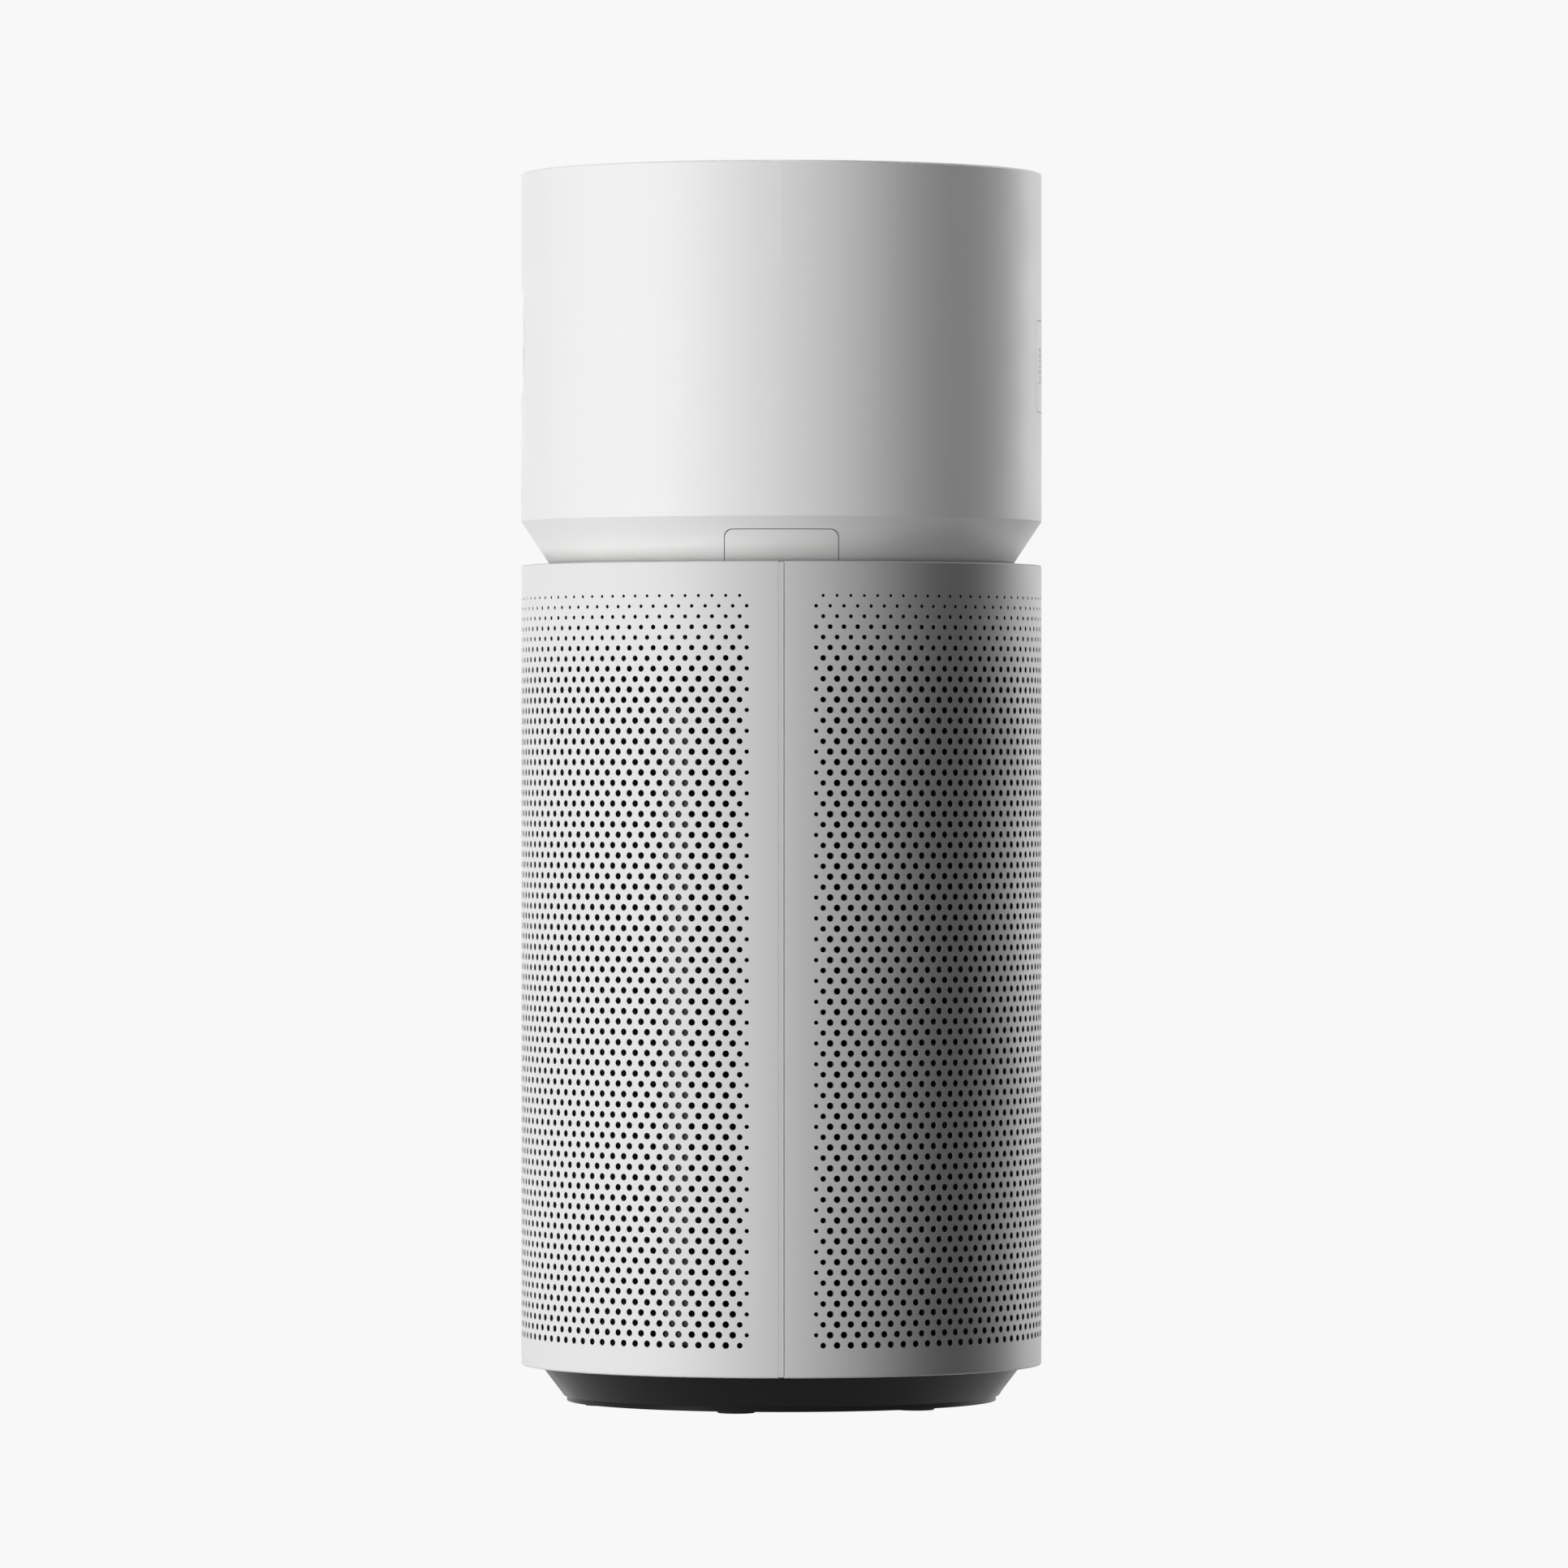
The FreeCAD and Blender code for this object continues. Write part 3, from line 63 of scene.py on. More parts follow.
COVER_Z0, COVER_Z1 = COVER_LO.z, COVER_HI.z
SEAM_Y = -COVER_HI.y                        # half the joint line between the covers
POST_LO, POST_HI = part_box("frame_post_right")
GLASS_LO, GLASS_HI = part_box("display_glass")

# ---------------------------------------------------------------- camera
CAMERA_AT = Vector((6.25, 0.0, 0.3715))
CAMERA_AIM = Vector((0.0, 0.0015, 0.3625))
CAMERA_LENS = 244.66                        # millimetres, on a sensor 36 mm wide
SENSOR_W = 36.0
CAMERA_FAR = 100.0


def make_camera():
    data = bpy.data.cameras.new("camera")
    data.lens = CAMERA_LENS
    data.sensor_width = SENSOR_W
    data.clip_end = CAMERA_FAR
    camera = bpy.data.objects.new("camera", data)
    camera.location = CAMERA_AT
    camera.rotation_euler = (CAMERA_AIM - CAMERA_AT).to_track_quat("-Z", "Y").to_euler()
    bpy.context.scene.collection.objects.link(camera)
    bpy.context.scene.camera = camera


# ---------------------------------------------------------------- studio
STUDIO_R = 12.0
STUDIO_STEPS = 96                           # corners round the floor and the dome
DOME_ROWS = 16
BACKDROP = 0.939                            # linear value of the pale floor and backdrop
LIGHT_R = 2.2                               # distance of the soft boxes from the drum's axis
LIGHT_Z = 0.36                              # height of their middle
LIGHT_H = 3.4
# name, azimuth from +X in degrees, half width in degrees, radiance
SOFT_BOXES = [
    ("key", -50.5, 14.0, 3.9),
    ("rim", 132.0, 14.0, 2.65),
    ("fill", -150.0, 15.0, 0.5),
]
DRUM_FILL = ("drum_fill", 14.0, 20.0, 0.42) # the same, for the parts above the covers alone
TOP_LIGHT_Z = 2.5
TOP_LIGHT_SIZE = 1.8
TOP_LIGHT = 1.6                             # its radiance
AMBIENT = 0.02                              # radiance of everything that isn't a light


def emission_material(name, value):
    """Material that glows evenly, with radiance value."""
    material = bpy.data.materials.new(name)
    material.use_nodes = True
    nodes, links = material.node_tree.nodes, material.node_tree.links
    nodes.clear()
    out = nodes.new("ShaderNodeOutputMaterial")
    glow = nodes.new("ShaderNodeEmission")
    glow.inputs["Color"].default_value = (value, value, value, 1.0)
    links.new(glow.outputs["Emission"], out.inputs["Surface"])
    return material


def mesh_object(name, verts, faces):
    mesh = bpy.data.meshes.new(name)
    mesh.from_pydata(verts, [], faces)
    mesh.update()
    obj = bpy.data.objects.new(name, mesh)
    bpy.context.scene.collection.objects.link(obj)
    return obj


def soft_box(name, place, turn, width, height, radiance):
    """Rectangular area light; its power is what gives each point of it that radiance."""
    data = bpy.data.lights.new(name, "AREA")
    data.shape = "RECTANGLE"
    data.size = width
    data.size_y = height
    data.energy = 4.0 * radiance * width * height
    light = bpy.data.objects.new(name, data)
    light.location = place
    light.rotation_euler = turn
    light.visible_camera = False
    bpy.context.scene.collection.objects.link(light)
    return light


def tall_box(name, azimuth, half_width, radiance):
    """Soft box that stands beside the object and faces the drum's axis."""
    angle = math.radians(azimuth)
    width = 2.0 * LIGHT_R * math.tan(math.radians(half_width))
    return soft_box(name, (LIGHT_R * math.cos(angle), LIGHT_R * math.sin(angle), LIGHT_Z),
                    (math.radians(90.0), 0.0, angle + math.radians(90.0)), width, LIGHT_H, radiance)


def make_studio():
    """Pale floor and dome, which light nothing themselves, and the lights; two light the drum alone."""
    pale = emission_material("studio_pale", BACKDROP)
    steps, rows = STUDIO_STEPS, DOME_ROWS
    ring = [(math.cos(2 * math.pi * i / steps), math.sin(2 * math.pi * i / steps)) for i in range(steps)]
    floor = mesh_object("floor", [(STUDIO_R * x, STUDIO_R * y, 0.0) for x, y in ring], [list(range(steps))])
    verts = []
    for row in range(rows):
        tilt = 0.5 * math.pi * row / rows
        verts += [(STUDIO_R * math.cos(tilt) * x, STUDIO_R * math.cos(tilt) * y, STUDIO_R * math.sin(tilt))
                  for x, y in ring]
    verts.append((0.0, 0.0, STUDIO_R))
    faces = []
    for row in range(rows - 1):
        for i in range(steps):
            j = (i + 1) % steps
            faces.append((row * steps + i, (row + 1) * steps + i, (row + 1) * steps + j, row * steps + j))
    top = (rows - 1) * steps
    faces += [(top + i, len(verts) - 1, top + (i + 1) % steps) for i in range(steps)]
    dome = mesh_object("backdrop", verts, faces)
    for obj in (floor, dome):
        obj.data.materials.append(pale)
        obj.visible_diffuse = False
        obj.visible_shadow = False
    for name, azimuth, half_width, radiance in SOFT_BOXES:
        tall_box(name, azimuth, half_width, radiance)
    top = soft_box("top", (0.0, 0.0, TOP_LIGHT_Z), (0.0, 0.0, 0.0), TOP_LIGHT_SIZE, TOP_LIGHT_SIZE, TOP_LIGHT)
    upper = bpy.data.collections.new("upper_parts")
    for name, node in frame["nodes"].items():
        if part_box(name)[1].z > COVER_Z1:
            upper.objects.link(node)
    for light in (top, tall_box(*DRUM_FILL)):
        light.light_linking.receiver_collection = upper
    world = bpy.data.worlds.new("studio")
    world.use_nodes = True
    world.node_tree.nodes["Background"].inputs["Color"].default_value = (1.0, 1.0, 1.0, 1.0)
    world.node_tree.nodes["Background"].inputs["Strength"].default_value = AMBIENT
    bpy.context.scene.world = world
    bpy.context.scene.view_settings.view_transform = "Standard"


# ---------------------------------------------------------------- materials
NOISE_LOW, NOISE_HIGH = 0.3, 0.7


class Surface:
    """One material on a Principled shader, with helpers that add the nodes of its fine detail."""

    def __init__(self, name, color, metallic=0.0, specular=0.3, ior=1.5):
        self.material = bpy.data.materials.new(name)
        self.material.use_nodes = True
        self.nodes = self.material.node_tree.nodes
        self.links = self.material.node_tree.links
        self.shader = self.nodes["Principled BSDF"]
        self.shader.inputs["Metallic"].default_value = metallic
        self.shader.inputs["Specular IOR Level"].default_value = specular
        self.shader.inputs["IOR"].default_value = ior
        self.shader.inputs["Base Color"].default_value = (*color, 1.0)
        self.place = self.nodes.new("ShaderNodeTexCoord").outputs["Object"]
        self.color = color

    def node(self, kind, **settings):
        """A new node of that kind, with those of its settings."""
        made = self.nodes.new(kind)
        for key, value in settings.items():
            setattr(made, key, value)
        return made

    def math(self, operation, first, second=None):
        """One calculation with numbers or other nodes' outputs."""
        made = self.node("ShaderNodeMath", operation=operation)
        for socket, value in zip(made.inputs, (first, second)):
            if value is None:
                continue
            if isinstance(value, (int, float)):
                socket.default_value = value
            else:
                self.links.new(value, socket)
        return made.outputs[0]

    def noise(self, scale, detail=2.0, stretch=None):
        """Noise of the given scale, in repeats per metre, drawn out along the axes by stretch."""
        source = self.place
        if stretch:
            mapping = self.node("ShaderNodeMapping")
            mapping.inputs["Scale"].default_value = stretch
            self.links.new(source, mapping.inputs["Vector"])
            source = mapping.outputs["Vector"]
        made = self.node("ShaderNodeTexNoise")
        made.inputs["Scale"].default_value = scale
        made.inputs["Detail"].default_value = detail
        self.links.new(source, made.inputs["Vector"])
        return made.outputs["Fac"]

    def spread(self, value, low, high):
        """Maps the range where noise mostly lies to low to high."""
        made = self.node("ShaderNodeMapRange")
        self.links.new(value, made.inputs["Value"])
        made.inputs["From Min"].default_value = NOISE_LOW
        made.inputs["From Max"].default_value = NOISE_HIGH
        made.inputs["To Min"].default_value = low
        made.inputs["To Max"].default_value = high
        return made.outputs["Result"]

    def roughness(self, value, low, high):
        """Lets the roughness vary with a noise between low and high."""
        self.links.new(self.spread(value, low, high), self.shader.inputs["Roughness"])

    def bump(self, value, distance, strength=1.0):
        """Adds relief of that height to what is there already."""
        made = self.node("ShaderNodeBump")
        made.inputs["Distance"].default_value = distance
        made.inputs["Strength"].default_value = strength
        self.links.new(value, made.inputs["Height"])
        previous = self.shader.inputs["Normal"].links
        if previous:
            self.links.new(previous[0].from_socket, made.inputs["Normal"])
        self.links.new(made.outputs["Normal"], self.shader.inputs["Normal"])

    def tint(self, value, factor, other):
        """Mixes the colour so far towards other, by value times factor."""
        mix = self.node("ShaderNodeMix", data_type="RGBA")
        socket = self.shader.inputs["Base Color"]
        if socket.links:
            self.links.new(socket.links[0].from_socket, mix.inputs["A"])
        else:
            mix.inputs["A"].default_value = (*self.color, 1.0)
        mix.inputs["B"].default_value = (*other, 1.0)
        self.links.new(self.math("MULTIPLY", value, factor), mix.inputs["Factor"])
        self.links.new(mix.outputs["Result"], socket)

    def axes(self):
        """The place on the part in its own X, Y and Z."""
        made = self.node("ShaderNodeSeparateXYZ")
        self.links.new(self.place, made.inputs[0])
        return made.outputs

    def distance(self, first, second):
        """Length of the hypotenuse over two values."""
        squares = [self.math("MULTIPLY", value, value) for value in (first, second)]
        return self.math("SQRT", self.math("ADD", *squares))

    def between(self, value, low, high):
        """1 where the value lies between the two, and 0 elsewhere."""
        return self.math("MULTIPLY", self.math("GREATER_THAN", value, low),
                         self.math("LESS_THAN", value, high))

    def around(self, radius):
        """Length along the circle of that radius about the drum's axis."""
        place = self.axes()
        return self.math("MULTIPLY", self.math("ARCTAN2", place["Y"], place["X"]), radius)

    def ridges(self, coordinate, pitch):
        """A wave from 0 to 1 with that pitch along a coordinate."""
        wave = self.math("SINE", self.math("MULTIPLY", coordinate, 2.0 * math.pi / pitch))
        return self.math("ADD", self.math("MULTIPLY", wave, 0.5), 0.5)


def moulded(name, color, rough, grain=1500.0, depth=0.02 * MM, specular=0.3, mottle=0.04):
    """Moulded plastic: fine eroded texture, slight roughness patches and a hint of colour drift."""
    s = Surface(name, color, specular=specular)
    s.roughness(s.noise(28.0, detail=3.0), low=rough - 0.05, high=rough + 0.05)
    s.bump(s.noise(9.0, detail=2.0), distance=0.12 * MM, strength=0.25)
    s.bump(s.noise(grain, detail=2.0), distance=depth, strength=0.8)
    s.tint(s.noise(14.0, detail=4.0), factor=mottle, other=tuple(0.8 * c for c in color))
    return s


def white_plastic(name, color=(0.80, 0.80, 0.795), rough=0.5):
    return moulded(name, color, rough=rough, grain=2200.0, depth=0.012 * MM, specular=0.25, mottle=0.05)


def perforated_plastic_with_painted_shade(name):
    """White plastic with painted shade in its holes: the colour turns dark inside the thickness of the wall,
    where only the holes cut it.
    """
    s = white_plastic(name)
    x, y, z = s.axes()
    inside = s.between(s.distance(x, y), COVER_R - COVER_WALL + BORE_SHADE_INSET, COVER_R - BORE_SHADE_INSET)
    rows = s.between(z, COVER_Z0 + LOW_ROW - HOLE_D, COVER_Z1 - HIGH_ROW + HOLE_D)
    beside = s.math("GREATER_THAN", s.math("ABSOLUTE", y), PLAIN_HALF)
    # painted shade: darkens the holes' walls, where the light doesn't reach
    s.tint(s.math("MULTIPLY", s.math("MULTIPLY", inside, rows), beside), factor=1.0, other=BORE_SHADE_COLOR)
    return s


def black_plastic(name, value, rough, specular=0.2):
    return moulded(name, (value, value, value * 1.05), rough=rough, grain=1100.0, depth=0.03 * MM,
                   specular=specular, mottle=0.3)


def metal(name, color, rough, stretch):
    """Metal with fine lines drawn out along one axis and a few darker spots."""
    s = Surface(name, color, metallic=1.0, specular=0.5)
    lines = s.noise(900.0, detail=3.0, stretch=stretch)
    s.roughness(lines, low=rough - 0.08, high=rough + 0.1)
    s.bump(lines, distance=0.01 * MM, strength=0.6)
    s.tint(s.noise(60.0, detail=5.0), factor=0.3, other=tuple(0.6 * c for c in color))
    return s


def woven(name, color, other, pitch, depth, radius):
    """Cloth wrapped round the drum's axis: two sets of threads at right angles."""
    s = Surface(name, color, specular=0.1)
    warp = s.ridges(s.around(radius), pitch)
    weft = s.ridges(s.axes()["Z"], pitch)
    weave = s.math("MAXIMUM", warp, weft)
    s.roughness(s.noise(300.0), low=0.75, high=0.95)
    s.bump(weave, distance=depth, strength=0.9)
    s.tint(weave, factor=0.8, other=other)
    s.tint(s.noise(90.0, detail=3.0), factor=0.25, other=tuple(0.5 * c for c in other))
    return s


def foam(name, color):
    s = Surface(name, color, specular=0.15)
    cells = s.node("ShaderNodeTexVoronoi")
    cells.inputs["Scale"].default_value = 900.0
    s.links.new(s.place, cells.inputs["Vector"])
    s.bump(cells.outputs["Distance"], distance=0.15 * MM, strength=0.8)
    s.roughness(s.noise(120.0), low=0.8, high=0.95)
    s.tint(cells.outputs["Distance"], factor=0.5, other=tuple(2.0 * c for c in color))
    return s


def rubber(name, color):
    s = Surface(name, color, specular=0.25)
    s.roughness(s.noise(80.0, detail=3.0), low=0.6, high=0.8)
    s.bump(s.noise(700.0, detail=3.0), distance=0.04 * MM, strength=0.7)
    s.tint(s.noise(40.0, detail=4.0), factor=0.5, other=tuple(2.2 * c for c in color))
    return s


CREASE_PITCH = 25.0 * MM


def paper(name, color):
    """Fibre paper with faint cross creases."""
    s = Surface(name, color, specular=0.1)
    s.roughness(s.noise(200.0, detail=3.0), low=0.85, high=0.97)
    s.bump(s.noise(1400.0, detail=4.0), distance=0.06 * MM, strength=0.8)
    s.bump(s.ridges(s.axes()["Z"], CREASE_PITCH), distance=0.10 * MM, strength=0.3)
    s.tint(s.noise(420.0, detail=5.0), factor=0.35, other=(0.66, 0.64, 0.58))
    return s


BOARD_COLOR = (0.02, 0.14, 0.07)
TRACK_COLOR = (0.10, 0.36, 0.16)
COMPONENT_COLOR = (0.02, 0.02, 0.022)
BOARD_T = 1.6 * MM
BOARD_SKIN = 0.05 * MM                      # how far past a board's face its components count as such
SPACER_H = 3.0 * MM                         # spacers above the power board's upper face


def board(name, color, axis, level, sign):
    """Circuit board: green resist with paler tracks; parts that stand off the board past level are dark."""
    s = Surface(name, color, specular=0.5)
    tracks = s.node("ShaderNodeTexBrick")
    tracks.inputs["Scale"].default_value = 140.0
    tracks.inputs["Mortar Size"].default_value = 0.06
    tracks.inputs["Color1"].default_value = (0.0, 0.0, 0.0, 1.0)
    tracks.inputs["Color2"].default_value = (0.15, 0.15, 0.15, 1.0)
    tracks.inputs["Mortar"].default_value = (1.0, 1.0, 1.0, 1.0)
    s.links.new(s.place, tracks.inputs["Vector"])
    s.roughness(s.noise(150.0), low=0.28, high=0.42)
    s.bump(tracks.outputs["Color"], distance=0.03 * MM, strength=0.5)
    s.tint(tracks.outputs["Color"], factor=0.5, other=TRACK_COLOR)
    beyond = s.math("GREATER_THAN", s.math("MULTIPLY", s.axes()[axis], sign), sign * level)
    s.tint(beyond, factor=1.0, other=COMPONENT_COLOR)
    return s


def laminated(name, color, pitch):
    """Stack of thin steel sheets seen edge on."""
    s = Surface(name, color, metallic=1.0, specular=0.5)
    sheets = s.ridges(s.axes()["Z"], pitch)
    s.roughness(s.noise(500.0), low=0.3, high=0.5)
    s.bump(sheets, distance=0.05 * MM, strength=0.8)
    s.tint(sheets, factor=0.35, other=tuple(0.35 * c for c in color))
    return s


RING_INNER, RING_OUTER = 16.6 * MM, 17.8 * MM
DOT_RADIUS = 1.1 * MM
DOT_SPACING = 7.5 * MM
LIT_COLOR = (0.25, 0.60, 0.75)
GLOW_COLOR = (0.35, 0.80, 1.0)
GLOW = 0.6


def display_surface(name):
    """Gloss black window with a lit ring round its edge and three small lit dots."""
    s = Surface(name, (0.010, 0.010, 0.012), specular=0.5)
    s.roughness(s.noise(20.0, detail=2.0), low=0.07, high=0.14)
    s.bump(s.noise(400.0, detail=1.0), distance=0.002 * MM, strength=0.3)
    centre = (GLASS_LO + GLASS_HI) / 2.0
    place = s.axes()
    dx = s.math("SUBTRACT", place["X"], centre.x)
    dz = s.math("SUBTRACT", place["Z"], centre.z)
    lit = s.between(s.distance(dx, dz), RING_INNER, RING_OUTER)
    for step in (-1, 0, 1):
        from_dot = s.distance(s.math("SUBTRACT", dx, step * DOT_SPACING), dz)
        lit = s.math("MAXIMUM", lit, s.math("LESS_THAN", from_dot, DOT_RADIUS))
    s.tint(lit, factor=1.0, other=LIT_COLOR)
    s.shader.inputs["Emission Color"].default_value = (*GLOW_COLOR, 1.0)
    s.links.new(s.math("MULTIPLY", lit, GLOW), s.shader.inputs["Emission Strength"])
    return s


def finish_cad_nodes():
    """Gives every CAD node the material of its slot; the boards and the motor get one of their own."""
    filter_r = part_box("filter_top_cap")[1].x
    slots = {
        "white_shell": white_plastic("white_shell"),
        "white_cover": perforated_plastic_with_painted_shade("white_cover"),
        "grille_white": white_plastic("grille_white", color=(0.78, 0.78, 0.775)),
        "base_black": black_plastic("base_black", value=0.008, rough=0.3, specular=0.1),
        "inlet_black": black_plastic("inlet_black", value=0.012, rough=0.3, specular=0.4),
        "inner_black": black_plastic("inner_black", value=0.012, rough=0.55),
        "fan_grey": moulded("fan_grey", (0.10, 0.10, 0.105), rough=0.45, mottle=0.2),
        "display_black": display_surface("display_black"),
        "steel": metal("steel", (0.55, 0.55, 0.56), rough=0.3, stretch=(1.0, 1.0, 6.0)),
        "magnet_nickel": metal("magnet_nickel", (0.70, 0.69, 0.66), rough=0.2, stretch=(1.0, 1.0, 1.0)),
        "foot_rubber": rubber("foot_rubber", (0.012, 0.012, 0.012)),
        "filter_cap": black_plastic("filter_cap", value=0.02, rough=0.5),
        "filter_paper": paper("filter_paper", (0.80, 0.79, 0.75)),
        "filter_mesh": woven("filter_mesh", (0.004, 0.004, 0.004), other=(0.02, 0.02, 0.02),
                             pitch=1.1 * MM, depth=0.25 * MM, radius=filter_r),
        "filter_strip": woven("filter_strip", (0.30, 0.30, 0.31), other=(0.42, 0.42, 0.43),
                              pitch=0.8 * MM, depth=0.08 * MM, radius=filter_r),
        "gasket_foam": foam("gasket_foam", (0.04, 0.04, 0.045)),
        "tab_webbing": woven("tab_webbing", (0.012, 0.012, 0.013), other=(0.05, 0.05, 0.055),
                             pitch=1.4 * MM, depth=0.3 * MM, radius=filter_r),
    }
    own = {
        "motor_stator": laminated("stator_laminations", (0.45, 0.44, 0.42), pitch=1.0 * MM),
        "motor_rotor": laminated("rotor_laminations", (0.50, 0.49, 0.47), pitch=1.0 * MM),
    }
    thick = BOARD_T + BOARD_SKIN
    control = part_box("control_board")[1].y - thick
    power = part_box("power_board")[1].z - SPACER_H - thick
    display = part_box("display_board")[0].y + thick
    own["control_board"] = board("control_board_finish", BOARD_COLOR, axis="Y", level=control, sign=-1.0)
    own["power_board"] = board("power_board_finish", BOARD_COLOR, axis="Z", level=power, sign=-1.0)
    own["display_board"] = board("display_board_finish", BOARD_COLOR, axis="Y", level=display, sign=1.0)
    for part in frame["record"]["subparts"]:
        node = frame["nodes"][part["node"]]
        surface = own.get(part["node"]) or slots[part["material_slot"]]
        node.data.materials.clear()
        node.data.materials.append(surface.material)
    return slots


# ---------------------------------------------------------------- perforated covers
COVER_WALL = 2.4 * MM
EDGE_R = 1.2 * MM                           # rounding of the outer edges at top and bottom
EDGE_STEPS = 4
FLANGE_T = 2.5 * MM                         # flanges inside both edges; their width counts from outside
FLANGE_W = 14.1 * MM
SEAM_ROUND_DEG = 0.2                        # how far the wall's rounding reaches back from the joint line
SEAM_ROUND = 0.45 * MM                      # and how deep
FIRST_HOLE_DEG = 7.5                        # first column of holes, round from the joint line
LAST_COLUMN = 108                           # hole columns 0 to 108; 0 and 108 mirror each other
COLUMN_DEG = (180.0 - 2.0 * FIRST_HOLE_DEG) / LAST_COLUMN
ROWS = 73
LOW_ROW = 18.7 * MM                         # lowest and highest row, in from the cover's edges
HIGH_ROW = 19.8 * MM
HOLE_D = 4.0 * MM
HOLE_SIDES = 12                             # two for each side of the hexagon round a hole
FIRST_D, SECOND_D = 2.6 * MM, 3.4 * MM      # holes of the outermost two columns
TOP_D = (1.86, 2.15, 2.45, 2.9, 2.9, 3.3, 3.45, 3.7, 3.85)   # the highest rows' holes, in millimetres
BORE_SHADE_INSET = 0.15 * MM                       # how far in from each face of the wall the painted shade in the holes starts
# colour of the painted shade on the holes' walls
BORE_SHADE_COLOR = (0.035, 0.035, 0.035)
PLAIN_HALF = 14.0 * MM                      # no holes this near to the joint's plane
LEFT_I, RIGHT_I = -5, LAST_COLUMN + 5       # columns where the patterned wall ends
RIB_T = 2.4 * MM                            # ribs beside the frame posts: thickness and depth
RIB_D = 12.0 * MM
RIB_GAP = 0.4 * MM                          # between a rib and the frame post beside it
POST_WALL = 2.4 * MM
STIFF_T = 2.2 * MM                          # stiffeners: thickness, depth and place round the wall
STIFF_D = 9.0 * MM
STIFF_DEG = 57.0
BOSS_HALF = 6.0 * MM                        # magnet bosses: half width, depth and height from the edges
BOSS_D = 5.0 * MM
MAGNET_END = 80.0 * MM
TONGUE_SINK = 0.1 * MM                      # strip that fills the joint, on one end of each cover
TONGUE_T = 0.4 * MM
TONGUE_FOOT = 2.0 * MM                      # how deep its foot goes, which joins it to its own cover
TONGUE_HALF = 1.3 * MM
FOOT_ACROSS = -0.7 * TONGUE_HALF            # the foot's middle and half width
FOOT_HALF = 0.4 * TONGUE_HALF
JOINT_GAP = 0.3 * MM                        # between that strip and the walls


def outward(point):
    return Vector((point.x, point.y, 0.0))


def inward(point):
    return Vector((-point.x, -point.y, 0.0))


def to_other_half(point):
    return Vector((0.0, 1.0, 0.0))


def upright(sign):
    return lambda point: Vector((0.0, 0.0, sign))


def rounding(centre_z):
    """Normals of the rounded edge whose circle has its centre at that height."""
    def normal(point):
        around = Vector((point.x, point.y, 0.0))
        beyond = around.length - (COVER_R - EDGE_R)
        return around.normalized() * beyond + Vector((0.0, 0.0, point.z - centre_z))
    return normal


